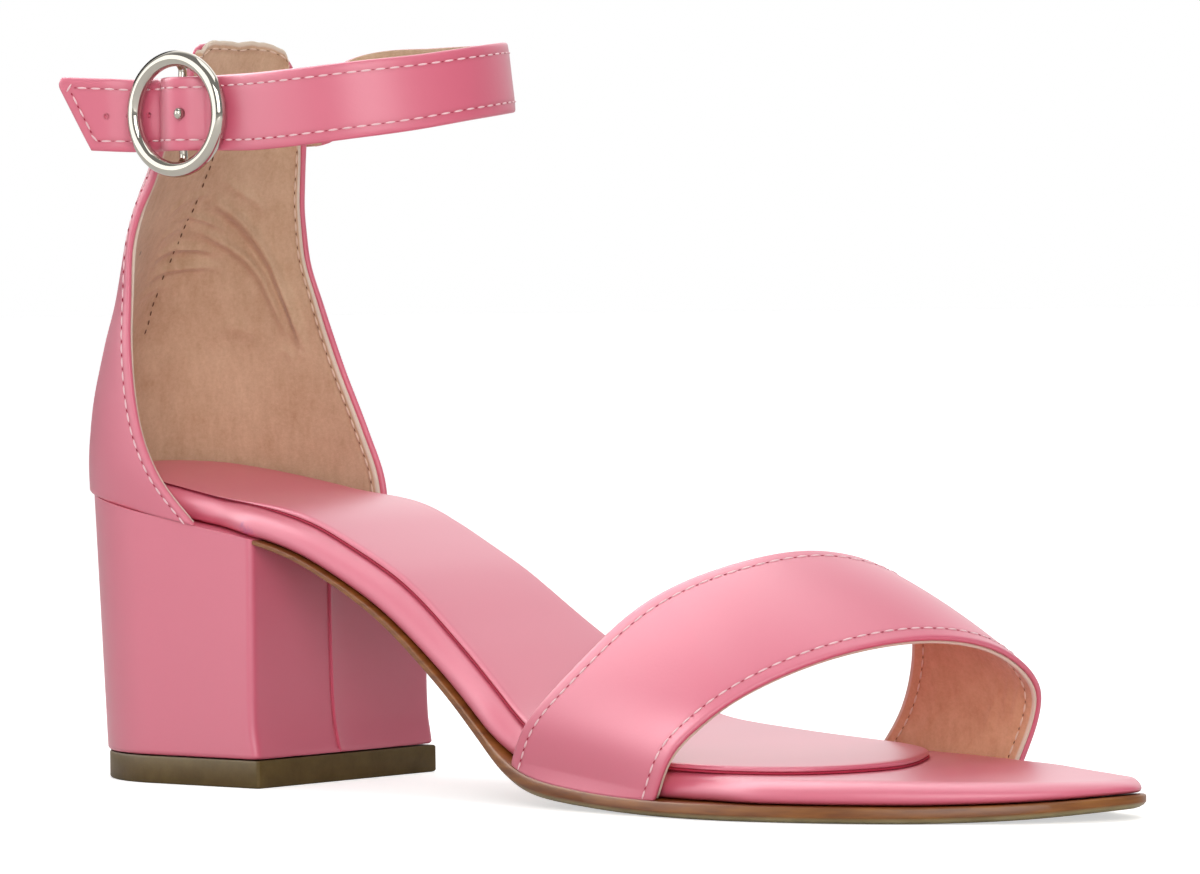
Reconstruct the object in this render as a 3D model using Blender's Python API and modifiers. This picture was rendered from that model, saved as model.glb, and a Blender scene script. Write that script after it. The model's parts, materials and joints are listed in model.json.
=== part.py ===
# Block-heeled ankle-strap sandal for the right foot, built from its maker's pieces.
# Metres, +Z up, toe along +X, inner (medial) side along +Y.
# The origin is the centre of the heel top piece's underside.

import math

import bmesh
import bpy
import numpy as np

# Last and sole
sole_length = 0.236          # rear of the seat to the tip of the toe
seat_back = 0.0295           # origin to the rear of the seat
ball_half = 0.0365           # half of the ball width
seat_half = 0.0263           # half of the seat width
seat_reach = 0.040           # length of the rounded seat
seat_roundness = 2.8         # exponent of the seat's rounded outline
heel_rise = 0.0533           # seat at its rear above the tread of the forefoot
outsole_thickness = 0.003    # at the tread
outsole_bevel = 0.0010       # height of the bevel under the edge
insole_thickness = 0.005     # wrapped footbed at the seat
insole_round = 0.0026        # width of the rounded upper edge
insole_inset = 0.0008        # edge of the insole inside the edge of the outsole
counter_tuck = 0.0040        # the same where the counter stands beside it
band_tuck = 0.0029           # the same where the band passes beside it
pad_thickness = 0.0014       # raised sock pad
fit_gap = 0.0003             # clearance between pieces that touch

# Heel
heel_length = 0.0537         # top piece, rear to front
heel_half = 0.0250           # half of the top piece's width
heel_lead = 0.0019           # breast of the block behind the top piece's front
heel_corner = 0.0022         # radius of the block's front corners
top_piece_thickness = 0.0052

# Counter
counter_wall = 0.0020
counter_top = 0.142          # highest point of the tab above the floor
counter_lean = 0.030         # tab's rear ahead of the rear of the seat

# Vamp band
band_wall = 0.0018
band_top = 0.046             # highest point of the band above the floor
band_crown = 0.0009          # outward swell at the middle of its width
band_lean = 0.0006           # inner foot of the leaning wall below its outer foot

# Straps
strap_width = 0.0132
strap_wall = 0.0016
sleeve_wall = 0.0007         # each ply of the short strap
strap_height = 0.1272        # middle of the strap at the buckle above the floor
strap_climb = 0.0057         # middle of the strap at the front above that
loop_half = 0.0280           # half of the loop's width
loop_front = 0.0617          # front of the loop ahead of the origin
tail_reach = 0.0270          # tip of the tail behind the buckle's middle
tail_slant = 0.0075          # lower corner of the tail ahead of its tip
tail_flare = 0.0035          # tip of the tail outside the ring
hole_spacing = 0.0050
hole_count = 5
hole_radius = 0.0008

# Buckle
ring_radius = 0.0105         # to the middle of its wire
ring_wire = 0.0015           # radius of the wire
ring_forward = 0.0114        # middle of the ring ahead of the origin
ring_out = 0.0290            # middle of the ring beside the middle line
bar_radius = 0.0008
bar_inset = 0.0018           # bar nearer to the foot than the ring
stud_radius = 0.0005
stud_lead = 0.0029           # head of the stud ahead of the bar
stud_proud = 0.0007          # head of the stud above the strap

# Outline of the sole: share of its length, half widths outside and inside as shares of ball_half
sole_outline = [
    (0.225, 0.685, 0.668),
    (0.270, 0.674, 0.610),
    (0.315, 0.660, 0.573),
    (0.355, 0.652, 0.560),
    (0.395, 0.658, 0.565),
    (0.435, 0.685, 0.614),
    (0.475, 0.740, 0.695),
    (0.510, 0.805, 0.785),
    (0.545, 0.863, 0.862),
    (0.585, 0.912, 0.926),
    (0.630, 0.953, 0.983),
    (0.690, 0.990, 1.005),
    (0.740, 0.995, 0.975),
    (0.790, 0.932, 0.905),
    (0.840, 0.816, 0.790),
    (0.885, 0.658, 0.650),
    (0.925, 0.470, 0.510),
    (0.960, 0.265, 0.405),
    (0.985, 0.060, 0.320),
]
toe_shift = 0.160            # tip of the toe towards the inside, share of ball_half

# Height of the sole's upper face: share of length, share of heel_rise
sole_profile = [
    (0.000, 1.000),
    (0.083, 0.938),
    (0.155, 0.882),
    (0.231, 0.824),
    (0.270, 0.778),
    (0.310, 0.700),
    (0.358, 0.585),
    (0.388, 0.494),
    (0.418, 0.396),
    (0.445, 0.308),
    (0.474, 0.212),
    (0.505, 0.118),
    (0.523, 0.078),
    (0.548, 0.046),
    (0.587, 0.024),
    (0.646, 0.005),
    (0.700, 0.000),
    (0.880, 0.000),
    (0.925, 0.004),
    (0.960, 0.011),
    (1.000, 0.026),
]

# Thickness along the sole: share of length, outsole share, insole share of the named thickness
sole_layers = [
    (0.000, 0.40, 1.00),
    (0.230, 0.40, 1.00),
    (0.315, 0.44, 1.03),
    (0.400, 0.58, 1.12),
    (0.475, 0.70, 1.12),
    (0.545, 0.92, 1.12),
    (0.630, 1.00, 1.04),
    (0.740, 1.00, 0.90),
    (0.860, 1.00, 0.84),
    (0.940, 0.96, 0.70),
    (1.000, 0.80, 0.42),
]

# Sock pad: share of sole_length and of ball_half for its outer side, then for its inner side
pad_outline = [
    (0.045, 0.340, 0.045, 0.340),
    (0.080, 0.480, 0.080, 0.480),
    (0.150, 0.540, 0.150, 0.540),
    (0.225, 0.550, 0.225, 0.530),
    (0.315, 0.540, 0.300, 0.450),
    (0.395, 0.545, 0.380, 0.440),
    (0.475, 0.625, 0.450, 0.510),
    (0.550, 0.740, 0.520, 0.680),
    (0.630, 0.835, 0.590, 0.810),
    (0.700, 0.860, 0.650, 0.860),
    (0.755, 0.790, 0.710, 0.800),
    (0.790, 0.620, 0.750, 0.640),
    (0.806, 0.400, 0.782, 0.350),
]
pad_back = 0.030             # share of sole_length
pad_front = 0.811            # share of sole_length
pad_front_shift = -0.200     # share of ball_half

# Counter: height share, rear share of counter_lean, outer and inner front as shares of
# seat_reach, half width as a share of seat_half, exponent of the section
counter_sections = [
    (0.00, 0.00, 1.000, 1.085, 1.000, 2.80),
    (0.07, -0.02, 0.760, 1.065, 1.010, 2.35),
    (0.18, -0.02, 0.615, 0.960, 0.995, 1.95),
    (0.32, 0.03, 0.545, 0.820, 0.955, 1.60),
    (0.44, 0.15, 0.510, 0.745, 0.890, 1.45),
    (0.56, 0.33, 0.515, 0.670, 0.855, 1.45),
    (0.66, 0.52, 0.575, 0.665, 0.825, 1.55),
    (0.74, 0.66, 0.655, 0.685, 0.800, 1.70),
    (0.84, 0.80, 0.715, 0.720, 0.765, 1.90),
    (0.93, 0.92, 0.770, 0.780, 0.680, 2.10),
    (1.00, 1.00, 0.800, 0.810, 0.560, 2.30),
]
counter_corner = 0.11        # share of height that the tab's corners fall

# Vamp band, from outside to inside: share of the way over, then along, out and up
# for its rear edge and for its front edge
band_edges = [
    (0.00, 0.523, -0.840, 0.000, 0.682, -0.985, 0.000),
    (0.12, 0.545, -0.900, 0.315, 0.699, -1.005, 0.240),
    (0.25, 0.587, -0.863, 0.533, 0.718, -0.850, 0.380),
    (0.38, 0.631, -0.630, 0.800, 0.754, -0.644, 0.520),
    (0.50, 0.682, -0.274, 0.957, 0.799, -0.300, 0.630),
    (0.62, 0.714, 0.137, 0.991, 0.828, 0.110, 0.652),
    (0.75, 0.739, 0.470, 0.890, 0.838, 0.495, 0.590),
    (0.85, 0.742, 0.750, 0.700, 0.837, 0.760, 0.455),
    (0.93, 0.724, 0.940, 0.360, 0.826, 0.890, 0.300),
    (1.00, 0.685, 0.990, 0.000, 0.814, 0.850, 0.000),
]

# Free part of the ankle strap, from the counter's inner edge round the front to the ring:
# forward share between the origin and the loop's front, out share of loop_half, climb share
loop_path = [
    (0.180, 0.960, 0.86),
    (0.420, 1.020, 1.00),
    (0.640, 0.930, 1.03),
    (0.840, 0.690, 1.03),
    (0.970, 0.330, 1.00),
    (1.000, -0.060, 0.88),
    (0.930, -0.450, 0.66),
    (0.790, -0.780, 0.42),
    (0.610, -0.940, 0.20),
    (0.470, -0.960, 0.06),
]

counter_end = 0.186          # share of the sole where the counter ends
band_start = 0.520           # shares of the sole between which the band passes
band_end = 0.835
tuck_blend = 0.032           # share of the sole over which an inset changes

across_sole = 2              # divisions over the sole's width
along_sole = 32              # stations between the sole's rounded ends
sole_zone = (0.10, 0.88)     # shares of the sole between its rounded ends
sole_ends = (8, 9)           # divisions of a side at the seat and at the toe
pad_zone = (0.10, 0.72)      # the same for the sock pad
pad_ends = (7, 8)
along_counter = 26           # divisions round the counter
up_counter = 16              # divisions up the counter

pink = (0.78, 0.30, 0.37)
deep_pink = (0.72, 0.22, 0.29)
sock_pink = (0.80, 0.40, 0.46)
sole_brown = (0.28, 0.14, 0.07)
heel_brown = (0.18, 0.11, 0.05)
silver = (0.80, 0.79, 0.76)


def clear_scene():
    for old in list(bpy.data.objects):
        bpy.data.objects.remove(old, do_unlink=True)
    for old in list(bpy.data.collections):
        bpy.data.collections.remove(old)


def finish(name, colour, roughness, metallic=0.0):
    material = bpy.data.materials.new(name)
    material.use_nodes = True
    shader = material.node_tree.nodes["Principled BSDF"]
    shader.inputs["Base Color"].default_value = (*colour, 1.0)
    shader.inputs["Roughness"].default_value = roughness
    shader.inputs["Metallic"].default_value = metallic
    return material


def monotone(table, column, at):
    # Smooth curve through a table's column that never swings past its values
    xs = np.array([row[0] for row in table], dtype=float)
    ys = np.array([row[column] for row in table], dtype=float)
    step = np.diff(xs)
    rise = np.diff(ys) / step
    slope = np.zeros(len(xs))
    for i in range(1, len(xs) - 1):
        if rise[i - 1] * rise[i] > 0.0:
            before = 2.0 * step[i] + step[i - 1]
            after = step[i] + 2.0 * step[i - 1]
            slope[i] = (before + after) / (before / rise[i - 1] + after / rise[i])
    slope[0] = rise[0]
    slope[-1] = rise[-1]
    at = float(np.clip(at, xs[0], xs[-1]))
    i = int(np.clip(np.searchsorted(xs, at) - 1, 0, len(xs) - 2))
    t = (at - xs[i]) / step[i]
    return float(
        ys[i] * (1 + 2 * t) * (1 - t) ** 2
        + slope[i] * step[i] * t * (1 - t) ** 2
        + ys[i + 1] * t * t * (3 - 2 * t)
        + slope[i + 1] * step[i] * t * t * (t - 1)
    )


def smooth_path(points, steps, closed=False):
    # Smooth curve through points of any dimension, with steps per span
    p = np.array(points, dtype=float)
    count = len(p)
    spans = count if closed else count - 1
    length = np.array([np.linalg.norm(p[(i + 1) % count] - p[i]) for i in range(spans)])
    tangent = np.zeros_like(p)
    for i in range(count):
        if closed or 0 < i < count - 1:
            back, ahead = length[i - 1], length[i % spans]
            to_back = (p[i] - p[i - 1]) / back
            to_ahead = (p[(i + 1) % count] - p[i]) / ahead
            tangent[i] = (to_back * ahead + to_ahead * back) / (back + ahead)
    if not closed:
        tangent[0] = (p[1] - p[0]) / length[0]
        tangent[-1] = (p[-1] - p[-2]) / length[-1]
    result = []
    for i in range(spans):
        a, b = p[i], p[(i + 1) % count]
        ta, tb = tangent[i] * length[i], tangent[(i + 1) % count] * length[i]
        for k in range(steps):
            t = k / steps
            result.append(
                a * (1 + 2 * t) * (1 - t) ** 2 + ta * t * (1 - t) ** 2
                + b * t * t * (3 - 2 * t) + tb * t * t * (t - 1)
            )
    if not closed:
        result.append(p[-1])
    return np.array(result)


def spaced(path, count, ends=0.0):
    # The same path with count + 1 points, drawn together at its ends by the share given
    run = np.concatenate([[0.0], np.cumsum(np.linalg.norm(np.diff(path, axis=0), axis=1))])
    even = np.linspace(0.0, 1.0, count + 1)
    wave = even - math.tau ** -1 * np.sin(math.tau * even)
    want = ((1.0 - ends) * even + ends * wave) * run[-1]
    return np.stack([np.interp(want, run, path[:, k]) for k in range(path.shape[1])], axis=1)


def place_along(share):
    return share * sole_length - seat_back


def share_along(x):
    return (x + seat_back) / sole_length


def seat_outline(x):
    # Half width of the rounded seat at x
    left = (seat_reach - (x + seat_back)) / seat_reach
    left = min(max(left, 0.0), 1.0)
    return seat_half * (1.0 - left ** seat_roundness) ** (1.0 / seat_roundness)


def sole_top(x):
    return outsole_thickness + heel_rise * monotone(sole_profile, 1, share_along(x))


def sole_slope(x):
    step = 0.001
    return (sole_top(x + step) - sole_top(x - step)) / (2.0 * step)


def upright(x):
    # Height that a layer's thickness takes up where the sole slopes
    return math.sqrt(1.0 + sole_slope(x) ** 2)


def sole_bottom(x):
    thick = outsole_thickness * monotone(sole_layers, 1, share_along(x))
    return max(0.0, sole_top(x) - thick * upright(x))


def insole_depth(x):
    return insole_thickness * monotone(sole_layers, 2, share_along(x)) * upright(x)


def insole_top(x):
    return sole_top(x) + fit_gap + insole_depth(x)


def closed_outline(outer, inner, back, front):
    # Halves of a closed outline with their outward directions
    fine = 12
    ring = smooth_path([back, *outer, front, *inner[::-1]], fine, closed=True)
    ahead = np.roll(ring, -1, axis=0) - np.roll(ring, 1, axis=0)
    ahead /= np.linalg.norm(ahead, axis=1)[:, None]
    out = np.stack([ahead[:, 1], -ahead[:, 0]], axis=1)
    full = np.concatenate([ring, out], axis=1)
    middle = (len(outer) + 1) * fine
    outer_half = full[:middle + 1]
    inner_half = np.concatenate([full[middle:], full[:1]])[::-1]
    return outer_half, inner_half


def sole_halves():
    seat_rows = [0.010, 0.032, 0.062, 0.105, 0.160]
    outer = []
    inner = []
    for share in seat_rows:
        x = place_along(share)
        outer.append((x, -seat_outline(x)))
        inner.append((x, seat_outline(x)))
    for share, out_half, in_half in sole_outline:
        outer.append((place_along(share), -out_half * ball_half))
        inner.append((place_along(share), in_half * ball_half))
    back = (place_along(0.0), 0.0)
    front = (place_along(1.0), toe_shift * ball_half)
    return closed_outline(outer, inner, back, front)


def pad_halves():
    outer = [(place_along(row[0]), -row[1] * ball_half) for row in pad_outline]
    inner = [(place_along(row[2]), row[3] * ball_half) for row in pad_outline]
    back = (place_along(pad_back), 0.0)
    front = (place_along(pad_front), pad_front_shift * ball_half)
    return closed_outline(outer, inner, back, front)


def at_x(half, x):
    # Point of a half outline at x, with its outward direction
    top = int(np.argmax(half[:, 0])) + 1
    row = np.array([np.interp(x, half[:top, 0], half[:top, k]) for k in range(4)])
    row[2:] /= np.linalg.norm(row[2:])
    return row


def sampled(half, zone, counts, cut=None):
    # A half outline at the stations that all layers share, and evenly over its two ends
    low, high = (place_along(share) for share in zone)
    first = cut if cut is not None else low
    body = [at_x(half, x) for x in sole_stations() if first + 0.002 < x < high - 0.002]
    top = int(np.argmax(half[:, 0])) + 1
    xs = half[:top, 0]
    front = np.concatenate([[at_x(half, high)], half[:top][xs > high], half[top:]])
    front = spaced(front, counts[1])
    if cut is not None:
        face = at_x(half, cut)
        return np.concatenate([[face], body, front])
    back = np.concatenate([half[:top][xs < low], [at_x(half, low)]])
    back = spaced(back, counts[0])
    return np.concatenate([back, body, front])


def sole_stations():
    return [place_along(share) for share in np.linspace(0.10, 0.88, along_sole + 1)]


def side_at(half, x):
    xs = half[:, 0]
    top = int(np.argmax(xs)) + 1
    return float(np.interp(x, xs[:top], half[:top, 1]))


def mesh_object(name, material, sheet, verts, faces, smooth_angle):
    mesh = bpy.data.meshes.new(name)
    work = bmesh.new()
    made = [work.verts.new(v) for v in verts]
    for face in faces:
        if len(set(face)) > 2:
            work.faces.new([made[i] for i in face])
    bmesh.ops.remove_doubles(work, verts=work.verts, dist=0.000002)
    bmesh.ops.recalc_face_normals(work, faces=work.faces)
    work.to_mesh(mesh)
    work.free()
    mesh.materials.append(material)
    mesh.shade_smooth()
    mesh.set_sharp_from_angle(angle=math.radians(smooth_angle))
    made_object = bpy.data.objects.new(name, mesh)
    sheet.objects.link(made_object)
    return made_object


def loft(name, material, sheet, sections, cap_first=False, cap_last=False):
    # Closed sections joined one after another
    count = len(sections[0])
    verts = [tuple(point) for section in sections for point in section]
    faces = []
    for i in range(len(sections) - 1):
        for k in range(count):
            a = i * count + k
            b = i * count + (k + 1) % count
            faces.append((a, b, b + count, a + count))
    if cap_first:
        faces.append(tuple(range(count))[::-1])
    if cap_last:
        start = (len(sections) - 1) * count
        faces.append(tuple(range(start, start + count)))
    return mesh_object(name, material, sheet, verts, faces, 40.0)


def slab(name, material, sheet, halves, zone, counts, levels, floor, depth, cut=None):
    # A layer of the sole: levels hold the inset of the edge and the share of the depth
    outer, inner = (sampled(half, zone, counts, cut) for half in halves)
    for end in (-1, 0) if cut is None else (-1,):
        middle = 0.5 * (outer[end, 2:] + inner[end, 2:])
        outer[end, 2:] = middle
        inner[end, 2:] = middle
    sections = []
    for a, b in zip(outer, inner):
        def edge(side, level):
            # Along the sole an inset keeps its station, round the ends it follows the outline
            inset, share = levels[level]
            x, y, out_x, out_y = side
            hold = min(max((abs(out_y) - 0.5) / 0.25, 0.0), 1.0)
            if hold > 0.0:
                y -= hold * inset / out_y
            x -= (1.0 - hold) * inset * out_x
            y -= (1.0 - hold) * inset * out_y
            return np.array((x, y, floor(x) + share * depth(x)))

        def span(level):
            one, two = edge(a, level), edge(b, level)
            row = []
            for k in range(across_sole + 1):
                point = one + (two - one) * k / across_sole
                point[2] = floor(point[0]) + levels[level][1] * depth(point[0])
                row.append(point)
            return row

        section = span(0)
        section += [edge(b, level) for level in range(1, len(levels) - 1)]
        section += span(len(levels) - 1)[::-1]
        section += [edge(a, level) for level in range(len(levels) - 2, 0, -1)]
        sections.append(section)
    return loft(name, material, sheet, sections, cap_first=cut is not None)


def recess(share):
    # Inset of the insole where the counter and the band pass outside it
    at_counter = min(max((counter_end + tuck_blend - share) / tuck_blend, 0.0), 1.0)
    at_band = min(
        min(max((share - band_start + tuck_blend) / tuck_blend, 0.0), 1.0),
        min(max((band_end + tuck_blend - share) / tuck_blend, 0.0), 1.0),
    )
    inset = insole_inset
    inset += (counter_tuck - insole_inset) * at_counter
    inset += (band_tuck - insole_inset) * at_band
    return inset


def insole_halves():
    result = []
    for half in sole_halves():
        moved = half.copy()
        for row in moved:
            inset = recess(share_along(row[0]))
            row[0] -= row[2] * inset
            row[1] -= row[3] * inset
        result.append(moved)
    return result


def make_outsole(material, sheet):
    breast = heel_length / 2 - heel_lead + fit_gap
    bevel_in = 2.2 * outsole_bevel

    def depth(x):
        return sole_top(x) - sole_bottom(x)

    levels = [(bevel_in, 0.0), (0.25 * bevel_in, 0.22), (0.0, 0.42), (0.0, 0.85), (0.0002, 1.0)]
    return slab(
        "outsole", material, sheet, sole_halves(), sole_zone, sole_ends, levels, sole_bottom,
        depth, cut=breast,
    )


def make_insole(material, sheet):
    r = insole_round
    levels = [
        (0.20 * r, 0.00), (0.0, 0.15), (0.0, 0.45), (0.12 * r, 0.68), (0.42 * r, 0.88), (r, 1.00),
    ]

    def floor(x):
        return sole_top(x) + fit_gap

    return slab(
        "insole", material, sheet, insole_halves(), sole_zone, sole_ends, levels, floor,
        insole_depth,
    )


def make_sock_pad(material, sheet):
    levels = [(0.0, 0.0), (0.0, 0.55), (0.0004, 0.85), (0.0014, 1.0)]

    def floor(x):
        return insole_top(x) + fit_gap

    def depth(x):
        return pad_thickness * upright(x)

    return slab(
        "sock_pad", material, sheet, pad_halves(), pad_zone, pad_ends, levels, floor, depth,
    )


def heel_side(back, half_mid, half_front, front, corner):
    # One side of the heel's outline from the middle of its rear to its front corner
    arc = 14
    flat = 6
    turn = 5
    points = []
    for k in range(arc + 1):
        angle = 0.5 * math.pi * k / arc
        points.append((back + half_mid * (1.0 - math.cos(angle)), half_mid * math.sin(angle)))
    start = back + half_mid
    for k in range(1, flat):
        t = k / flat
        x = start + (front - corner - start) * t
        points.append((x, half_mid + (half_front - half_mid) * t))
    for k in range(turn + 1):
        angle = 0.5 * math.pi * k / turn
        x = front - corner + corner * math.sin(angle)
        points.append((x, half_front - corner + corner * math.cos(angle)))
    return points


def heel_section(side, height):
    outer = [(x, -y, height(x)) for x, y in side]
    inner = [(x, y, height(x)) for x, y in side[::-1]]
    return outer + inner[:-1]


def stack(name, material, sheet, sections):
    # Sections one above another, closed below and above by rungs between their two sides
    count = len(sections[0])
    verts = [tuple(point) for section in sections for point in section]
    faces = []
    for i in range(len(sections) - 1):
        for k in range(count):
            a = i * count + k
            b = i * count + (k + 1) % count
            faces.append((a, b, b + count, a + count))
    for base in (0, (len(sections) - 1) * count):
        for k in range(count // 2):
            rung = (base + k, base + k + 1, base + count - 1 - k, base + (count - k) % count)
            kept = tuple(dict.fromkeys(rung))
            if len(kept) > 2:
                faces.append(kept)
    return mesh_object(name, material, sheet, verts, faces, 40.0)


def make_heel_block(material, sheet):
    # Share of height, flare of the breast's foot as a share of heel_lead
    flares = [(0.0, 1.0), (0.05, 0.72), (0.14, 0.18), (0.30, 0.0), (0.65, 0.0), (1.0, 0.0)]
    foot = top_piece_thickness + fit_gap
    rear_low = -heel_length / 2
    rear_high = place_along(0.0) + 0.0004
    flare_gain = 0.7
    sections = []
    for share, flare in flares:
        rear = rear_low + (rear_high - rear_low) * share
        mid = heel_half + (seat_half - 0.0003 - heel_half) * share
        front = heel_length / 2 - heel_lead * (1.0 - flare * flare_gain)
        half_front = heel_half - 0.0005 * share
        side = heel_side(rear, mid, half_front, front, heel_corner)

        def height(x):
            return foot + (sole_top(x) - foot) * share

        sections.append(heel_section(side, height))
    return stack("heel_block", material, sheet, sections)


def make_top_piece(material, sheet):
    side = heel_side(-heel_length / 2, heel_half, heel_half, heel_length / 2, 0.5 * heel_corner)
    edge = 0.0003
    small = heel_side(
        edge - heel_length / 2, heel_half - edge, heel_half - edge, heel_length / 2 - edge,
        0.5 * heel_corner,
    )
    heights = [(small, 0.0), (side, edge), (side, top_piece_thickness)]
    sections = [heel_section(outline, lambda x, z=z: z) for outline, z in heights]
    return stack("heel_top_piece", material, sheet, sections)


def counter_point(level, turn):
    # Outer face of the counter: level from the seat up, turn from the outer edge to the inner
    rear = monotone(counter_sections, 1, level) * counter_lean - seat_back
    outer_front = monotone(counter_sections, 2, level) * seat_reach - seat_back
    inner_front = monotone(counter_sections, 3, level) * seat_reach - seat_back
    half = monotone(counter_sections, 4, level) * seat_half
    power = 2.0 / monotone(counter_sections, 5, level)
    angle = math.pi * (turn - 0.5)
    front = outer_front if turn < 0.5 else inner_front
    x = front - (front - rear) * math.cos(angle) ** power
    y = half * math.copysign(abs(math.sin(angle)) ** power, angle)
    low = sole_top(x) + fit_gap
    fall = counter_corner * abs(2.0 * turn - 1.0) ** 3.0 * level ** 3.0
    return np.array((x, y, low + (counter_top - low) * (level - fall)))


def make_counter(material, sheet):
    verts = []
    for i in range(up_counter + 1):
        for k in range(along_counter + 1):
            verts.append(tuple(counter_point(i / up_counter, k / along_counter)))
    row = along_counter + 1
    faces = []
    for i in range(up_counter):
        for k in range(along_counter):
            a = i * row + k
            faces.append((a, a + row, a + row + 1, a + 1))
    counter = mesh_object("counter", material, sheet, verts, faces, 60.0)
    return thicken(counter, counter_wall, (-1.0, 0.0))


def thicken(piece, wall, outward):
    # Gives an open face its wall on the side away from the outward direction
    mesh = piece.data
    total = np.zeros(3)
    for face in mesh.polygons:
        total += np.array(face.normal) * face.area
    flip = total[0] * outward[0] + total[2] * outward[1] < 0.0
    if flip:
        mesh.flip_normals()
    wall_modifier = piece.modifiers.new("wall", "SOLIDIFY")
    wall_modifier.thickness = wall
    wall_modifier.offset = -1.0
    wall_modifier.use_even_offset = True
    wall_modifier.use_rim = True
    return piece


def make_vamp_band(material, sheet):
    outer, inner = sole_halves()
    over = 30
    across = 6
    tuck = 0.0002
    points = []
    for turn, rear_x, rear_y, rear_z, front_x, front_y, front_z in band_edges:
        row = []
        for along, out, up in ((rear_x, rear_y, rear_z), (front_x, front_y, front_z)):
            x = place_along(along)
            low = sole_top(x) + fit_gap
            y = out * ball_half
            if turn in (0.0, 1.0):
                half = outer if turn == 0.0 else inner
                y = side_at(half, x)
                y -= math.copysign(tuck, y)
            z = low if up == 0.0 else up * band_top
            row += [x, y, z]
        points.append(row)
    edges = spaced(smooth_path(points, 8), over)
    verts = []
    for edge in edges:
        rear, front = edge[:3], edge[3:]
        height = min(1.0, (rear[2] - sole_top(rear[0])) / (0.5 * band_top))
        for k in range(across + 1):
            t = k / across
            point = rear * (1 - t) + front * t
            low = sole_top(point[0]) + fit_gap
            if height < 0.02:
                half = outer if point[1] < 0.0 else inner
                point[2] = low if point[1] < 0.0 else low + band_lean
                point[1] = side_at(half, point[0]) - math.copysign(tuck, point[1])
            swell = band_crown * 4.0 * t * (1 - t) * height
            away = np.array((0.35, point[1] / ball_half, max(0.2, point[2] / band_top)))
            verts.append(tuple(point + away / np.linalg.norm(away) * swell))
    row = across + 1
    faces = []
    for i in range(over):
        for k in range(across):
            a = i * row + k
            faces.append((a, a + 1, a + row + 1, a + row))
    band = mesh_object("vamp_band", material, sheet, verts, faces, 60.0)
    return thicken(band, band_wall, (0.0, 1.0))


def ribbon(name, material, sheet, middle, ups, width, wall, ends=None):
    # A strap: its middle line, the direction of its width, and the slant of its two ends
    count = len(middle)
    sections = []
    for i in range(count):
        before = middle[max(i - 1, 0)]
        after = middle[min(i + 1, count - 1)]
        ahead = (after - before) / np.linalg.norm(after - before)
        up = ups[i] - ahead * float(np.dot(ups[i], ahead))
        up /= np.linalg.norm(up)
        face = np.cross(ahead, up)
        section = []
        for side, high in ((-1, -1), (1, -1), (1, -0.34), (1, 0.34), (1, 1), (-1, 1), (-1, 0.34), (-1, -0.34)):
            point = middle[i] + up * (0.5 * width * high) + face * (0.5 * wall * side)
            if ends is not None:
                point = point + ahead * ends[i] * high
            section.append(point)
        sections.append(section)
    return loft(name, material, sheet, sections, cap_first=True, cap_last=True)


def counter_at(height, turn):
    # Point of the counter's outer face at a height above the floor
    low, high = 0.0, 1.0
    for _ in range(30):
        level = 0.5 * (low + high)
        if counter_point(level, turn)[2] < height:
            low = level
        else:
            high = level
    return counter_point(level, turn)


def on_counter(turn, lift):
    # Middle and width direction of a strap that lies on the counter's outer face
    low = counter_at(strap_height - 0.5 * strap_width, turn)
    middle = counter_at(strap_height, turn)
    step = 0.02
    one = counter_at(strap_height, max(turn - step, 0.0))
    two = counter_at(strap_height, min(turn + step, 1.0))
    up = (middle - low) / np.linalg.norm(middle - low)
    along = (two - one) / np.linalg.norm(two - one)
    out = np.cross(up, along)
    if out[1] * middle[1] < 0.0:
        out = -out
    return middle + out * lift, up


def strap_row(middle, up=(0.0, 0.0, 1.0)):
    # The width direction rides along with the path, at the scale of the strap
    return (*middle, *(np.array(up) * strap_width))


def rim_line():
    # Middle of the strap where it passes inside the ring's rim
    return -(ring_out - ring_wire - fit_gap - 0.5 * strap_wall)


def crest_line():
    # Middle of the strap where it passes over the bar and the short strap
    return -(ring_out - bar_inset + bar_radius + sleeve_wall + 2 * fit_gap + 0.5 * strap_wall)


def ankle_strap_path():
    lift = 3 * fit_gap + 0.5 * strap_wall
    rows = [strap_row(*on_counter(turn, lift)) for turn in (0.78, 0.86, 0.94, 1.00)]
    for forward, out, climb in loop_path:
        z = strap_height + strap_climb * climb
        rows.append(strap_row((forward * loop_front, out * loop_half, z)))
    # Offsets from the middle of the ring as shares of its radius, and how far towards the crest
    weave = [
        (1.19, 0.0), (0.86, 0.0), (0.56, 0.0), (0.26, 0.7), (0.0, 1.0),
        (-0.26, 0.7), (-0.56, 0.0), (-0.86, 0.0), (-1.19, 0.0),
    ]
    for offset, crest in weave:
        y = rim_line() * (1.0 - crest) + crest_line() * crest
        rows.append(strap_row((ring_forward + offset * ring_radius, y, strap_height)))
    tail_out = -(ring_out + tail_flare)
    end = ring_forward - tail_reach + 0.5 * tail_slant
    half_way = 0.5 * (ring_forward - 1.19 * ring_radius + end)
    rows.append(strap_row((half_way, 0.45 * rim_line() + 0.55 * tail_out, strap_height)))
    rows.append(strap_row((end, tail_out, strap_height)))
    return smooth_path(rows, 4)


def stud_line():
    # From the bar's axis to the stud's tip, and the turn of a rod that lies along it
    base = np.array((ring_forward, -(ring_out - bar_inset)))
    tip = np.array((ring_forward + stud_lead, crest_line() - 0.5 * strap_wall - stud_proud))
    way = tip - base
    return base, tip, math.atan2(-way[0], way[1])


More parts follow.
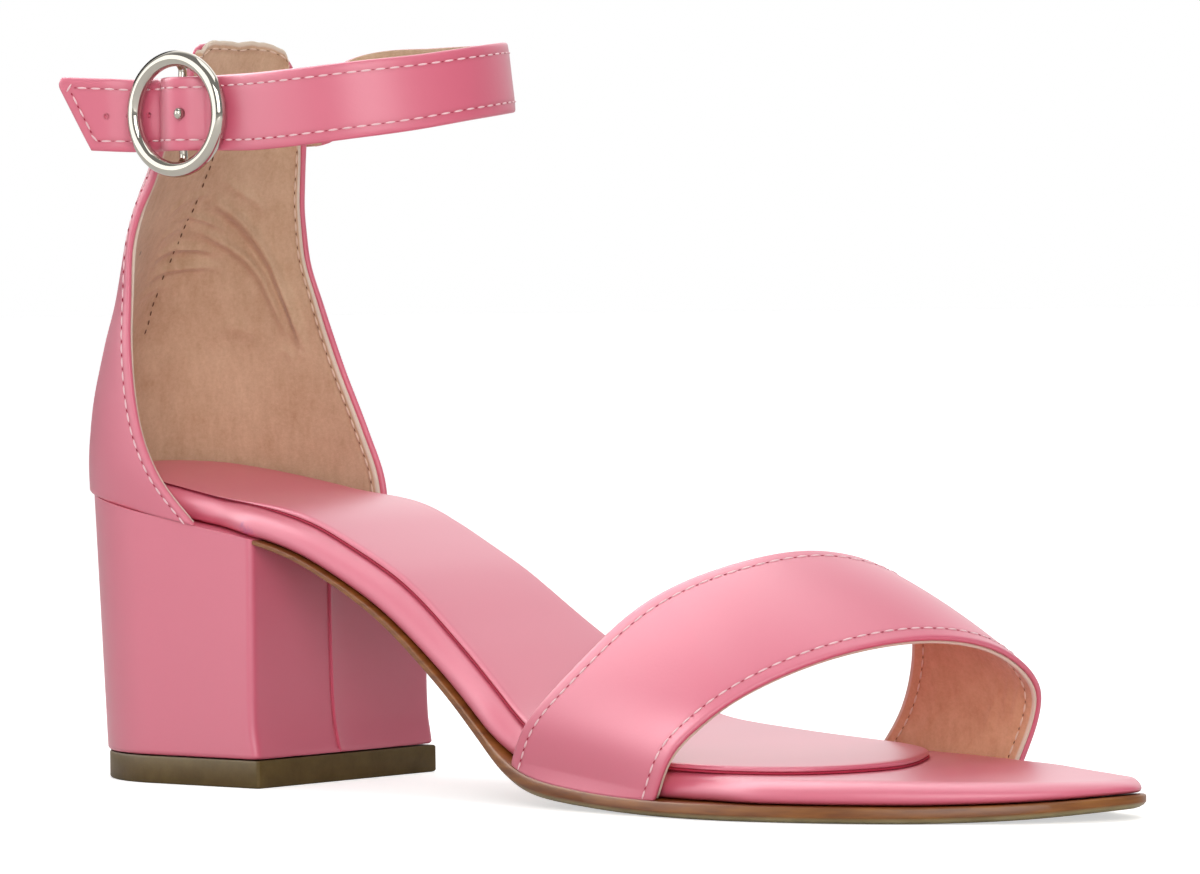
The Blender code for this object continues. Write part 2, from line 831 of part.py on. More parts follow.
def make_ankle_strap(material, sheet, cutters):
    path = ankle_strap_path()
    ends = np.zeros(len(path))
    reach = 8
    for k in range(reach):
        ends[-1 - k] = 0.5 * tail_slant * (1.0 - k / reach)
    strap = ribbon(
        "ankle_strap", material, sheet, path[:, :3], path[:, 3:], strap_width, strap_wall, ends,
    )
    base, tip, turn = stud_line()
    first = round_rod("stud_hole", cutters, stud_radius + 2 * fit_gap, 0.010)
    first.location = (*(0.5 * (base + tip)), strap_height)
    first.rotation_euler = (math.radians(90.0), 0.0, turn)
    holes = [first]
    half = path[len(path) // 2:]
    run = np.concatenate([[0.0], np.cumsum(np.linalg.norm(np.diff(half[:, :2], axis=0), axis=1))])
    start = run[int(np.argmin(np.abs(half[:, 0] - ring_forward - 0.4 * stud_lead)))]
    for k in range(1, hole_count):
        at = start + k * hole_spacing
        x, y = (float(np.interp(at, run, half[:, i])) for i in (0, 1))
        ahead = [float(np.interp(at + 0.001, run, half[:, i])) - p for i, p in ((0, x), (1, y))]
        hole = round_rod("hole_%d" % k, cutters, hole_radius, 0.004)
        hole.location = (x, y, strap_height)
        hole.rotation_euler = (math.radians(90.0), 0.0, math.atan2(ahead[1], ahead[0]))
        holes.append(hole)
    for hole in holes:
        cut = strap.modifiers.new(hole.name, "BOOLEAN")
        cut.operation = "DIFFERENCE"
        cut.object = hole
    return strap


def round_rod(name, sheet, radius, length):
    bpy.ops.mesh.primitive_cylinder_add(vertices=16, radius=radius, depth=length)
    rod = bpy.context.active_object
    rod.name = name
    for other in list(rod.users_collection):
        other.objects.unlink(rod)
    sheet.objects.link(rod)
    rod.hide_render = True
    rod.display_type = "WIRE"
    return rod


def make_buckle(material, sheet, cutters):
    bpy.ops.mesh.primitive_torus_add(
        major_segments=48, minor_segments=12, major_radius=ring_radius, minor_radius=ring_wire,
        location=(ring_forward, -ring_out, strap_height), rotation=(math.radians(90.0), 0.0, 0.0),
    )
    buckle = bpy.context.active_object
    buckle.name = "buckle"
    buckle.data.materials.append(material)
    for other in list(buckle.users_collection):
        other.objects.unlink(buckle)
    sheet.objects.link(buckle)
    bar_out = -(ring_out - bar_inset)
    bar = round_rod("bar", cutters, bar_radius, 2.0 * ring_radius)
    bar.location = (ring_forward, bar_out, strap_height)
    base, tip, turn = stud_line()
    stud = round_rod("stud", cutters, stud_radius, float(np.linalg.norm(tip - base)))
    stud.location = (*(0.5 * (base + tip)), strap_height)
    stud.rotation_euler = (math.radians(90.0), 0.0, turn)
    for piece in (bar, stud):
        join = buckle.modifiers.new(piece.name, "BOOLEAN")
        join.operation = "UNION"
        join.object = piece
    buckle.data.shade_smooth()
    buckle.data.set_sharp_from_angle(angle=math.radians(40.0))
    return buckle


def make_buckle_strap(material, sheet, cutters):
    # Short strap from the counter's outer edge, wrapped round the bar of the buckle
    ply = 2.0 * sleeve_wall
    height = strap_width - 0.0012
    lift = 3 * fit_gap + 0.5 * ply
    rows = [strap_row(*on_counter(turn, lift)) for turn in (0.24, 0.16, 0.08, 0.02)]
    bar_out = -(ring_out - bar_inset)
    hold = bar_radius + fit_gap + 0.5 * sleeve_wall
    inside = rim_line() + 0.5 * strap_wall + 2 * fit_gap + 0.5 * ply
    rows.append(strap_row((ring_forward - 0.56 * ring_radius, inside, strap_height)))
    rows.append(strap_row((ring_forward - 0.4 * hold, bar_out + 0.5 * hold, strap_height)))
    path = smooth_path(rows, 6)
    strap = ribbon("buckle_strap", material, sheet, path[:, :3], path[:, 3:], height, ply)
    eye = round_rod("eye", cutters, bar_radius + fit_gap + sleeve_wall, height)
    eye.location = (ring_forward, bar_out, strap_height)
    bore = round_rod("bore", cutters, bar_radius + fit_gap, 2.0 * height)
    bore.location = (ring_forward, bar_out, strap_height)
    base, tip, turn = stud_line()
    slot = round_rod("slot", cutters, stud_radius + 2 * fit_gap, float(np.linalg.norm(tip - base)))
    slot.location = (*(0.5 * (base + tip)), strap_height)
    slot.rotation_euler = (math.radians(90.0), 0.0, turn)
    for piece, way in ((eye, "UNION"), (bore, "DIFFERENCE"), (slot, "DIFFERENCE")):
        step = strap.modifiers.new(piece.name, "BOOLEAN")
        step.operation = way
        step.object = piece
    return strap


def main():
    clear_scene()
    sheet = bpy.data.collections.new("heeled_sandal")
    cutters = bpy.data.collections.new("cutters")
    bpy.context.scene.collection.children.link(sheet)
    bpy.context.scene.collection.children.link(cutters)
    make_outsole(finish("outsole", sole_brown, 0.5), sheet)
    make_insole(finish("insole", deep_pink, 0.5), sheet)
    make_sock_pad(finish("sock_pad", sock_pink, 0.45), sheet)
    make_heel_block(finish("heel_block", pink, 0.45), sheet)
    make_top_piece(finish("heel_top_piece", heel_brown, 0.55), sheet)
    make_counter(finish("counter", pink, 0.45), sheet)
    make_vamp_band(finish("vamp_band", pink, 0.45), sheet)
    make_ankle_strap(finish("ankle_strap", pink, 0.45), sheet, cutters)
    make_buckle(finish("buckle", silver, 0.15, 1.0), sheet, cutters)
    make_buckle_strap(finish("buckle_strap", pink, 0.45), sheet, cutters)


main()
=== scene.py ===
import json
import math
from functools import partial

import bmesh
import bpy
import numpy as np
from mathutils import Matrix, Vector

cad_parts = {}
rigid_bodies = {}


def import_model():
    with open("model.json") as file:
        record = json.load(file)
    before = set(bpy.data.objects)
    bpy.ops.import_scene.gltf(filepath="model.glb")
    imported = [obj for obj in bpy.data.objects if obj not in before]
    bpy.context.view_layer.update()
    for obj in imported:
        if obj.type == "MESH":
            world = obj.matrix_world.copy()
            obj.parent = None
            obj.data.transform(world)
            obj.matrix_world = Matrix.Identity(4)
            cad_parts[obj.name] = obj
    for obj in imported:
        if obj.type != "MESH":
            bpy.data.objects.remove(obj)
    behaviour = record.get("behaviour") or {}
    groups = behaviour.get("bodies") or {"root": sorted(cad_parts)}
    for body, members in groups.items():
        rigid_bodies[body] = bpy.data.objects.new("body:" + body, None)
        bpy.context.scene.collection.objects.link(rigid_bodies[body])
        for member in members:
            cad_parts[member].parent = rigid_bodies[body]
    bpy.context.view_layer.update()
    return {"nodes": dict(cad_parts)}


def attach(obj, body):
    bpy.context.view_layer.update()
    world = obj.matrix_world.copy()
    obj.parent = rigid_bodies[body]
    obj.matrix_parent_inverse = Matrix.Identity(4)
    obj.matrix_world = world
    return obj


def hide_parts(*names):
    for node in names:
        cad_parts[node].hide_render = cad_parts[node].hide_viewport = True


# Looks of a pink block-heeled ankle-strap sandal, right foot.
# Metres, toe along +X, inner side of the foot along +Y, floor at Z = 0.

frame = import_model()
print("frame loaded with", len(frame["nodes"]), "solids")

last = {
    "soleLength": 0.236,
    "seatBack": 0.0295,
    "ballHalf": 0.0365,
    "seatHalf": 0.0263,
    "seatReach": 0.040,
    "seatRoundness": 2.8,
    "heelRise": 0.0533,
    "outsoleThickness": 0.003,
    "insoleThickness": 0.005,
    "padThickness": 0.0014,
    "toeShift": 0.160,
    "toeEase": 0.0012,
    "fitGap": 0.0003,
}

# share of the length, half widths outside and inside as shares of ballHalf
soleOutline = [
    (0.225, 0.685, 0.668), (0.270, 0.674, 0.610), (0.315, 0.660, 0.573), (0.355, 0.652, 0.560),
    (0.395, 0.658, 0.565), (0.435, 0.685, 0.614), (0.475, 0.740, 0.695), (0.510, 0.805, 0.785),
    (0.545, 0.863, 0.862), (0.585, 0.912, 0.926), (0.630, 0.953, 0.983), (0.690, 0.990, 1.005),
    (0.740, 0.998, 0.975), (0.790, 0.940, 0.905), (0.840, 0.832, 0.790), (0.885, 0.686, 0.655),
    (0.925, 0.520, 0.525), (0.960, 0.345, 0.425), (0.985, 0.165, 0.345),
]

# share of the length, share of heelRise
soleProfile = [
    (0.000, 1.000), (0.083, 0.938), (0.155, 0.882), (0.231, 0.824), (0.270, 0.778),
    (0.310, 0.700), (0.358, 0.585), (0.388, 0.494), (0.418, 0.396), (0.445, 0.308),
    (0.474, 0.212), (0.505, 0.118), (0.523, 0.078), (0.548, 0.046), (0.587, 0.024),
    (0.646, 0.005), (0.700, 0.000), (0.880, 0.000), (0.925, 0.004), (0.960, 0.011),
    (1.000, 0.026),
]

# share of the length, then shares of the outsole's and the insole's thickness
soleLayers = [
    (0.000, 0.40, 1.00), (0.230, 0.40, 1.00), (0.315, 0.44, 1.03), (0.400, 0.58, 1.12),
    (0.475, 0.82, 1.12), (0.535, 1.18, 1.12), (0.575, 1.10, 1.10), (0.630, 1.00, 1.04), (0.740, 1.00, 0.90),
    (0.860, 1.00, 0.84), (0.940, 0.96, 0.70), (1.000, 0.80, 0.42),
]


def toLinear(code):
    # sRGB hex to the linear values that a shader takes
    values = []
    for i in (1, 3, 5):
        part = int(code[i:i + 2], 16) / 255.0
        values.append(part / 12.92 if part <= 0.04045 else ((part + 0.055) / 1.055) ** 2.4)
    return (*values, 1.0)


def addNode(tree, kind, settings=None, stops=()):
    # One node. A name in settings is a property or a socket, and a number is a socket. A node or socket
    # given as the value is linked, and a hex colour is turned linear. stops are a colour ramp's own.
    node = tree.nodes.new(kind)
    sockets = {}
    for name, value in (settings or {}).items():
        if isinstance(name, int) or name in node.inputs:
            sockets[name] = value
        else:
            setattr(node, name, value)
    for name, value in sockets.items():
        if isinstance(value, bpy.types.Node):
            value = next(output for output in value.outputs if output.enabled)
        if isinstance(value, bpy.types.NodeSocket):
            tree.links.new(value, node.inputs[name])
        else:
            node.inputs[name].default_value = toLinear(value) if isinstance(value, str) else value
    for k, (place, code) in enumerate(stops):
        bar = node.color_ramp.elements
        while k == 0 and len(bar) > 1:
            bar.remove(bar[-1])
        stop = bar[0] if k == 0 else bar.new(place)
        stop.position = place
        stop.color = toLinear(code)
    return node


def newMaterial(name):
    material = bpy.data.materials.new(name)
    material.use_nodes = True
    material.node_tree.nodes.clear()
    return material, partial(addNode, material.node_tree)


def closeMaterial(material, add, settings):
    add("ShaderNodeOutputMaterial", {"Surface": add("ShaderNodeBsdfPrincipled", settings)})
    return material


def seamBell(add, edge, middle, width):
    # 1 along the sewn row and 0 away from it, from the distance to the cut edge in mm
    offset = add("ShaderNodeMath", {"operation": "SUBTRACT", 0: edge, 1: middle})
    offset = add("ShaderNodeMath", {"operation": "DIVIDE", 0: offset, 1: width})
    square = add("ShaderNodeMath", {"operation": "MULTIPLY", 0: offset, 1: offset})
    square = add("ShaderNodeMath", {"operation": "MULTIPLY", 0: square, 1: -1.0})
    return add("ShaderNodeMath", {"operation": "EXPONENT", 0: square})


leatherLook = {
    "pink": "#DB667F",
    "pinkDeep": "#D25C75",
    # colour of the painted shade laid along the sunken sewn rows
    "groove": "#A83A4C",
    "roughness": 0.44,
    "specular": 0.35,
    "coat": 0.80,                # the clear finish that gives calf its whitish sheen at a low angle
    "coatRoughness": 0.42,
    "coatIor": 1.72,
    "grainMm": 0.55,             # pore spacing of a fine smooth calf, drawn coarse enough to show
    "grainDepthMm": 0.035,
    "clouding": 0.35,
    "grooveWidthMm": 0.55,       # the sewn row sinks a little into the leather
    # share of that painted shade in the groove of the sewn row
    "grooveShade": 0.22,
    "grooveDepth": 5.0,
}


def pinkLeather(name, look, edgeBand=None, stain=None):
    # Smooth dyed calf leather, lightly finished: even pink, faint pores, a broad soft shine
    material, add = newMaterial(name)
    where = add("ShaderNodeTexCoord").outputs["Object"]
    cloud = add("ShaderNodeTexNoise", {"Vector": where, "Scale": 42.0, "Detail": 3.0})
    share = add("ShaderNodeMath", {"operation": "MULTIPLY", 0: cloud, 1: look["clouding"]})
    colour = add("ShaderNodeMix", {"data_type": "RGBA", 0: share, 6: look["pink"], 7: look["pinkDeep"]})
    pores = add("ShaderNodeTexVoronoi", {
        "Vector": where, "Scale": 1000.0 / look["grainMm"], "Randomness": 1.0,
    })
    crease = add("ShaderNodeTexNoise", {"Vector": where, "Scale": 420.0 / look["grainMm"], "Detail": 4.0})
    height = add("ShaderNodeMath", {"operation": "MULTIPLY", 0: pores, 1: crease})
    if edgeBand:
        # along the sewn row the groove sinks, and its colour is darkened there as painted shade
        edge = add("ShaderNodeAttribute", {"attribute_name": "edgeMm"}).outputs["Fac"]
        bell = seamBell(add, edge, edgeBand, look["grooveWidthMm"])
        tint = add("ShaderNodeMath", {"operation": "MULTIPLY", 0: bell, 1: look["grooveShade"]})
        colour = add("ShaderNodeMix", {"data_type": "RGBA", 0: tint, 6: colour, 7: look["groove"]})
        depth = add("ShaderNodeMath", {"operation": "MULTIPLY", 0: bell, 1: look["grooveDepth"]})
        height = add("ShaderNodeMath", {"operation": "SUBTRACT", 0: height, 1: depth})
    if stain:
        size = stain["size"]
        gap = add("ShaderNodeVectorMath", {"operation": "DISTANCE", 0: where, 1: stain["at"]})
        worn = add("ShaderNodeTexNoise", {"Vector": where, "Scale": 700.0, "Detail": 3.0})
        reach = add("ShaderNodeMath", {"operation": "MULTIPLY", 0: worn, 1: size})
        reach = add("ShaderNodeMath", {"operation": "ADD", 0: reach, 1: 0.55 * size})
        near = add("ShaderNodeMath", {"operation": "SUBTRACT", 0: reach, 1: gap})
        near = add("ShaderNodeMath", {"operation": "DIVIDE", "use_clamp": True, 0: near, 1: 0.6 * size})
        near = add("ShaderNodeMath", {"operation": "MULTIPLY", 0: near, 1: stain["strength"]})
        colour = add("ShaderNodeMix", {"data_type": "RGBA", 0: near, 6: colour, 7: stain["colour"]})
    bump = add("ShaderNodeBump", {
        "Height": height, "Strength": 0.55, "Distance": look["grainDepthMm"] * 0.001,
    })
    return closeMaterial(material, add, {
        "Base Color": colour, "Normal": bump, "Roughness": look["roughness"], "IOR": 1.5,
        "Specular IOR Level": look["specular"], "Coat Weight": look["coat"],
        "Coat Roughness": look["coatRoughness"], "Coat IOR": look["coatIor"],
    })


suedeLook = {
    "tan": "#DDBD9F",
    "tanDark": "#BC9677",
    "rawEdge": "#E6DACA",
    "speck": "#5F4636",
    "napMm": 0.7,
    "grooveWidthMm": 0.6,
    "rawEdgeMm": 0.55,           # the cut edge shows the paler middle of the hide this far in
}


def tanSuede(name, look, edgeBand=None):
    # Split pigskin lining: dry, tan, with a brushed nap that clouds in patches and a few dark specks
    material, add = newMaterial(name)
    where = add("ShaderNodeTexCoord").outputs["Object"]
    patches = add("ShaderNodeTexNoise", {"Vector": where, "Scale": 95.0, "Detail": 6.0, "Roughness": 0.68})
    nap = add("ShaderNodeTexNoise", {
        "Vector": where, "Scale": 1000.0 / look["napMm"], "Detail": 5.0, "Roughness": 0.75,
    })
    stretch = add("ShaderNodeMapping", {"Vector": where, "Scale": (1.0, 1.0, 0.25)})
    brushed = add("ShaderNodeTexNoise", {"Vector": stretch, "Scale": 620.0, "Detail": 4.0})
    blend = add("ShaderNodeMath", {"operation": "MULTIPLY", 0: patches, 1: 0.55})
    for pattern, share in ((nap, 0.45), (brushed, 0.30)):
        part = add("ShaderNodeMath", {"operation": "MULTIPLY", 0: pattern, 1: share})
        blend = add("ShaderNodeMath", {"operation": "ADD", 0: blend, 1: part})
    colour = add("ShaderNodeValToRGB", {"Fac": blend}, [(0.45, look["tan"]), (0.88, look["tanDark"])])
    dots = add("ShaderNodeTexVoronoi", {"Vector": where, "Scale": 75.0, "Randomness": 1.0})
    mark = add("ShaderNodeValToRGB", {"Fac": dots}, [
        (0.0, "#FFFFFF"), (0.030, "#FFFFFF"), (0.045, "#000000"),
    ])
    mark = add("ShaderNodeMath", {"operation": "MULTIPLY", 0: mark, 1: 0.55})
    colour = add("ShaderNodeMix", {"data_type": "RGBA", 0: mark, 6: colour, 7: look["speck"]})
    height = add("ShaderNodeMath", {"operation": "ADD", 0: nap, 1: brushed})
    if edgeBand:
        edge = add("ShaderNodeAttribute", {"attribute_name": "edgeMm"}).outputs["Fac"]
        bell = seamBell(add, edge, edgeBand, look["grooveWidthMm"])
        depth = add("ShaderNodeMath", {"operation": "MULTIPLY", 0: bell, 1: 1.5})
        height = add("ShaderNodeMath", {"operation": "SUBTRACT", 0: height, 1: depth})
        # painted shade darkens the sunken sewn row
        tint = add("ShaderNodeMath", {"operation": "MULTIPLY", 0: bell, 1: 0.15})
        colour = add("ShaderNodeMix", {"data_type": "RGBA", 0: tint, 6: colour, 7: look["tanDark"]})
        raw = add("ShaderNodeMath", {"operation": "SUBTRACT", 0: look["rawEdgeMm"], 1: edge})
        raw = add("ShaderNodeMath", {"operation": "DIVIDE", "use_clamp": True, 0: raw, 1: 0.35})
        raw = add("ShaderNodeMath", {"operation": "MULTIPLY", 0: raw, 1: 0.75})
        colour = add("ShaderNodeMix", {"data_type": "RGBA", 0: raw, 6: colour, 7: look["rawEdge"]})
    bump = add("ShaderNodeBump", {"Height": height, "Strength": 0.6, "Distance": 0.00016})
    return closeMaterial(material, add, {
        "Base Color": colour, "Normal": bump, "Roughness": 0.92, "Specular IOR Level": 0.25,
        "Sheen Weight": 0.35, "Sheen Roughness": 0.45,
    })


def soleEdge(name):
    # Stacked-leather look of an edge painted brown and burnished, over a buff leather tread
    material, add = newMaterial(name)
    where = add("ShaderNodeTexCoord").outputs["Object"]
    stretch = add("ShaderNodeMapping", {"Vector": where, "Scale": (0.12, 0.12, 1.0)})
    layers = add("ShaderNodeTexNoise", {"Vector": stretch, "Scale": 900.0, "Detail": 3.0})
    edge = add("ShaderNodeValToRGB", {"Fac": layers}, [
        (0.3, "#703C12"), (0.55, "#87501C"), (0.75, "#975F26"),
    ])
    cloud = add("ShaderNodeTexNoise", {"Vector": where, "Scale": 160.0, "Detail": 5.0})
    tread = add("ShaderNodeValToRGB", {"Fac": cloud}, [(0.3, "#8A7B56"), (0.7, "#A6966F")])
    under = add("ShaderNodeAttribute", {"attribute_name": "under"}).outputs["Fac"]
    colour = add("ShaderNodeMix", {"data_type": "RGBA", 0: under, 6: edge, 7: tread})
    bump = add("ShaderNodeBump", {"Height": layers, "Strength": 0.25, "Distance": 0.0001})
    return closeMaterial(material, add, {
        "Base Color": colour, "Normal": bump, "Roughness": 0.36, "Specular IOR Level": 0.5,
    })


def heelRubber(name):
    # Moulded rubber top piece: olive brown, a little cloudy, satin where it was trimmed
    material, add = newMaterial(name)
    where = add("ShaderNodeTexCoord").outputs["Object"]
    cloud = add("ShaderNodeTexNoise", {"Vector": where, "Scale": 140.0, "Detail": 6.0, "Roughness": 0.7})
    tone = add("ShaderNodeValToRGB", {"Fac": cloud}, [(0.3, "#52401C"), (0.5, "#5F4C26"), (0.72, "#6A572F")])
    stretch = add("ShaderNodeMapping", {"Vector": where, "Scale": (1.0, 1.0, 0.15)})
    trim = add("ShaderNodeTexNoise", {"Vector": stretch, "Scale": 1400.0, "Detail": 2.0})
    bump = add("ShaderNodeBump", {"Height": trim, "Strength": 0.3, "Distance": 0.00008})
    return closeMaterial(material, add, {
        "Base Color": tone, "Normal": bump, "Roughness": 0.48, "Specular IOR Level": 0.3,
    })


def polishedNickel(name):
    # Polished nickel plate on a die-cast ring: mirror bright, slightly warm, a few hairlines
    material, add = newMaterial(name)
    where = add("ShaderNodeTexCoord").outputs["Object"]
    lines = add("ShaderNodeTexNoise", {"Vector": where, "Scale": 900.0, "Detail": 2.0})
    bump = add("ShaderNodeBump", {"Height": lines, "Strength": 0.05, "Distance": 0.00003})
    return closeMaterial(material, add, {
        "Base Color": "#C6C1B6", "Normal": bump, "Metallic": 1.0, "Roughness": 0.06,
    })


def plainFinish(name, code, roughness, specular=0.3):
    # Thread, needle holes and other small plain things
    material, add = newMaterial(name)
    return closeMaterial(material, add, {
        "Base Color": code, "Roughness": roughness, "Specular IOR Level": specular,
    })


seamInset = {"counter": 1.9, "band": 2.2, "strap": 1.6}   # mm from the edge to the sewn row

finishes = {
    "upper": pinkLeather("calf leather, smooth pink", leatherLook),
    "counter": pinkLeather("calf leather, smooth pink, counter", leatherLook, seamInset["counter"]),
    "band": pinkLeather("calf leather, smooth pink, band", leatherLook, seamInset["band"]),
    "strap": pinkLeather("calf leather, smooth pink, strap", leatherLook, seamInset["strap"]),
    "insole": pinkLeather(
        "calf leather, smooth pink, footbed", leatherLook,
        stain={"at": (0.0224, -0.0262, 0.0474), "size": 0.0032, "strength": 0.85, "colour": "#6E3494"},
    ),
    "pad": pinkLeather("calf leather, smooth pink, sock", leatherLook),
    # deep red of the sock's cut edge plus painted shade of the crevice beneath it
    "padEdge": plainFinish("cut edge of dyed leather, deep red", "#B4304A", 0.7),
    "counterLining": tanSuede("split pigskin, tan, counter", suedeLook, seamInset["counter"]),
    # the band's lining is a warmer copy of the tan lining: its extra warmth is painted bounce light from the
    # pink leather around it
    "bandLining": tanSuede(
        "split pigskin, tan, band, with painted warm bounce", dict(suedeLook, tan="#E8B893", tanDark="#C8906C"), seamInset["band"],
    ),
    "strapLining": tanSuede("split pigskin, tan, strap", suedeLook),
    "soleEdge": soleEdge("leather sole edge, painted brown"),
    "heelRubber": heelRubber("moulded rubber, olive brown"),
    "nickel": polishedNickel("nickel plate, polished"),
    "thread": plainFinish("polyester thread, pale pink", "#F3CBD0", 0.6),
    "threadCream": plainFinish("polyester thread, cream", "#E4C9B4", 0.6),
    "threadBrown": plainFinish("polyester thread, brown", "#6B4C3A", 0.7),
    # dark discs of painted shade standing in for the needle holes between stitches
    "needleHoleShade": plainFinish("painted shade of a needle hole in pink leather", "#A83148", 0.8, 0.1),
    "liningHoleShade": plainFinish("painted shade of a needle hole in tan suede", "#7A5644", 0.9, 0.1),
}
print("finishes made:", len(finishes))


# curves and meshes

def curveThrough(table, column):
    # Smooth curve through a table's column that never swings past its values
    xs = np.array([row[0] for row in table], float)
    ys = np.array([row[column] for row in table], float)
    step = np.diff(xs)
    rise = np.diff(ys) / step
    slope = np.zeros(len(xs))
    for i in range(1, len(xs) - 1):
        if rise[i - 1] * rise[i] > 0.0:
            before = 2.0 * step[i] + step[i - 1]
            after = step[i] + 2.0 * step[i - 1]
            slope[i] = (before + after) / (before / rise[i - 1] + after / rise[i])
    slope[0], slope[-1] = rise[0], rise[-1]

    def at(x):
        x = np.asarray(x, float)
        inside = np.clip(x, xs[0], xs[-1])
        i = np.clip(np.searchsorted(xs, inside) - 1, 0, len(xs) - 2)
        t = (inside - xs[i]) / step[i]
        y = ys[i] * (1 + 2 * t) * (1 - t) ** 2 + slope[i] * step[i] * t * (1 - t) ** 2
        y = y + ys[i + 1] * t * t * (3 - 2 * t) + slope[i + 1] * step[i] * t * t * (t - 1)
        return y + slope[0] * np.minimum(x - xs[0], 0.0) + slope[-1] * np.maximum(x - xs[-1], 0.0)

    return at


def softened(curve, width):
    # The same curve with its bends eased over the width
    step, count = 0.001, 1401    # samples from -0.2 to 1.2
    xs = np.linspace(-0.2, 1.2, count)
    reach = int(round(3.0 * width / step))
    bell = np.exp(-0.5 * (np.arange(-reach, reach + 1) * step / width) ** 2)
    bell /= bell.sum()
    wide = np.linspace(-0.2 - reach * step, 1.2 + reach * step, count + 2 * reach)
    smooth = np.convolve(curve(wide), bell, "valid")
    return lambda x: np.interp(x, xs, smooth)


def smoothPath(points, steps, closed=False):
    # Smooth curve through points of any dimension, with steps per span
    p = np.array(points, float)
    count = len(p)
    spans = count if closed else count - 1
    length = np.array([np.linalg.norm(p[(i + 1) % count] - p[i]) for i in range(spans)])
    tangent = np.zeros_like(p)
    for i in range(count):
        if closed or 0 < i < count - 1:
            back, ahead = length[i - 1], length[i % spans]
            toBack = (p[i] - p[i - 1]) / back
            toAhead = (p[(i + 1) % count] - p[i]) / ahead
            tangent[i] = (toBack * ahead + toAhead * back) / (back + ahead)
    if not closed:
        tangent[0] = (p[1] - p[0]) / length[0]
        tangent[-1] = (p[-1] - p[-2]) / length[-1]
    rows = []
    for i in range(spans):
        a, b = p[i], p[(i + 1) % count]
        ta, tb = tangent[i] * length[i], tangent[(i + 1) % count] * length[i]
        for k in range(steps):
            t = k / steps
            rows.append(
                a * (1 + 2 * t) * (1 - t) ** 2 + ta * t * (1 - t) ** 2
                + b * t * t * (3 - 2 * t) + tb * t * t * (t - 1)
            )
    if not closed:
        rows.append(p[-1])
    return np.array(rows)


def runAlong(line):
    # Distance from a line's start to each of its points
    return np.concatenate([[0.0], np.cumsum(np.linalg.norm(np.diff(line, axis=0), axis=1))])


def atRun(line, run, want):
    return np.stack([np.interp(want, run, line[:, k]) for k in range(line.shape[1])], axis=1)


def evenly(path, count, columns=None):
    # The same path with count + 1 even points, measured over its first columns
    run = runAlong(path[:, :columns or path.shape[1]])
    return atRun(path, run, np.linspace(0.0, 1.0, count + 1) * run[-1])


def respaced(line, start, stop, count):
    # The line between two real distances from its ends, as evenly spaced points
    run = runAlong(line)
    return atRun(line, run, np.linspace(start, run[-1] - stop, count))


def eased(points, passes, axis=0):
    # Evens out a row or grid of points along one direction
    p = np.moveaxis(np.array(points, float), axis, 0)
    for _ in range(passes):
        q = p.copy()
        q[1:-1] = 0.25 * p[:-2] + 0.5 * p[1:-1] + 0.25 * p[2:]
        p = q
    return np.moveaxis(p, 0, axis)


def unit(v):
    return v / np.maximum(np.linalg.norm(v, axis=-1, keepdims=True), 1e-12)


def gridNormals(grid, towards):
    # Normals of a grid of points, all on the side of the directions given
    normal = unit(np.cross(np.gradient(grid, axis=1), np.gradient(grid, axis=0)))
    if np.sum(normal * towards) < 0.0:
        normal = -normal
    return normal


def insetGrid(grid, left, right, low, high, rows=None, columns=None):
    # The grid trimmed by real lengths at its four sides, evenly spaced again
    rows = rows or grid.shape[0]
    columns = columns or grid.shape[1]
    across = np.array([respaced(line, left, right, columns) for line in grid])
    return np.stack([respaced(across[:, j], low, high, rows) for j in range(columns)], axis=1)


allRound, twoSides = ("left", "high", "right"), ("left", "right")    # sides of a panel with a sewn row


def edgeDistance(grid, sides):
    # Distance in mm from the nearest of the sides named, measured along the grid
    across = np.linalg.norm(np.diff(grid, axis=1), axis=2)
    along = np.linalg.norm(np.diff(grid, axis=0), axis=2)
    fromLeft = np.concatenate([np.zeros((grid.shape[0], 1)), np.cumsum(across, axis=1)], axis=1)
    fromLow = np.concatenate([np.zeros((1, grid.shape[1])), np.cumsum(along, axis=0)], axis=0)
    kinds = {
        "left": fromLeft, "right": fromLeft[:, -1:] - fromLeft,
        "low": fromLow, "high": fromLow[-1:] - fromLow,
    }
    return 1000.0 * np.min([kinds[side] for side in sides], axis=0)


def makePiece(name, verts, faces, material, replaced=(), angle=40.0, values=None):
    # A closed mesh with its faces outward, its finish and its place in the frame
    verts = np.array(verts, float)
    fans = np.array([(face[0], face[i], face[i + 1]) for face in faces for i in range(1, len(face) - 1)])
    a, b, c = (verts[fans[:, k]] for k in range(3))
    if np.sum(a * np.cross(b, c)) < 0.0:    # six times the volume
        faces = [tuple(face)[::-1] for face in faces]
    mesh = bpy.data.meshes.new(name)
    mesh.from_pydata([tuple(v) for v in verts], [], [tuple(f) for f in faces])
    for label, numbers in (values or {}).items():
        layer = mesh.attributes.new(label, "FLOAT", "POINT")
        layer.data.foreach_set("value", np.array(numbers, np.float32))
    work = bmesh.new()
    work.from_mesh(mesh)
    bmesh.ops.remove_doubles(work, verts=work.verts, dist=0.0000015)
    work.to_mesh(mesh)
    work.free()
    piece = bpy.data.objects.new(name, mesh)
    bpy.context.scene.collection.objects.link(piece)
    return dress(piece, material, replaced, angle)


def dress(piece, material, replaced=(), angle=40.0):
    if not piece.data.materials:
        piece.data.materials.append(material)
    piece.data.shade_smooth()
    piece.data.set_sharp_from_angle(angle=math.radians(angle))
    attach(piece, "root")
    if replaced:
        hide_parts(*replaced)
    return piece


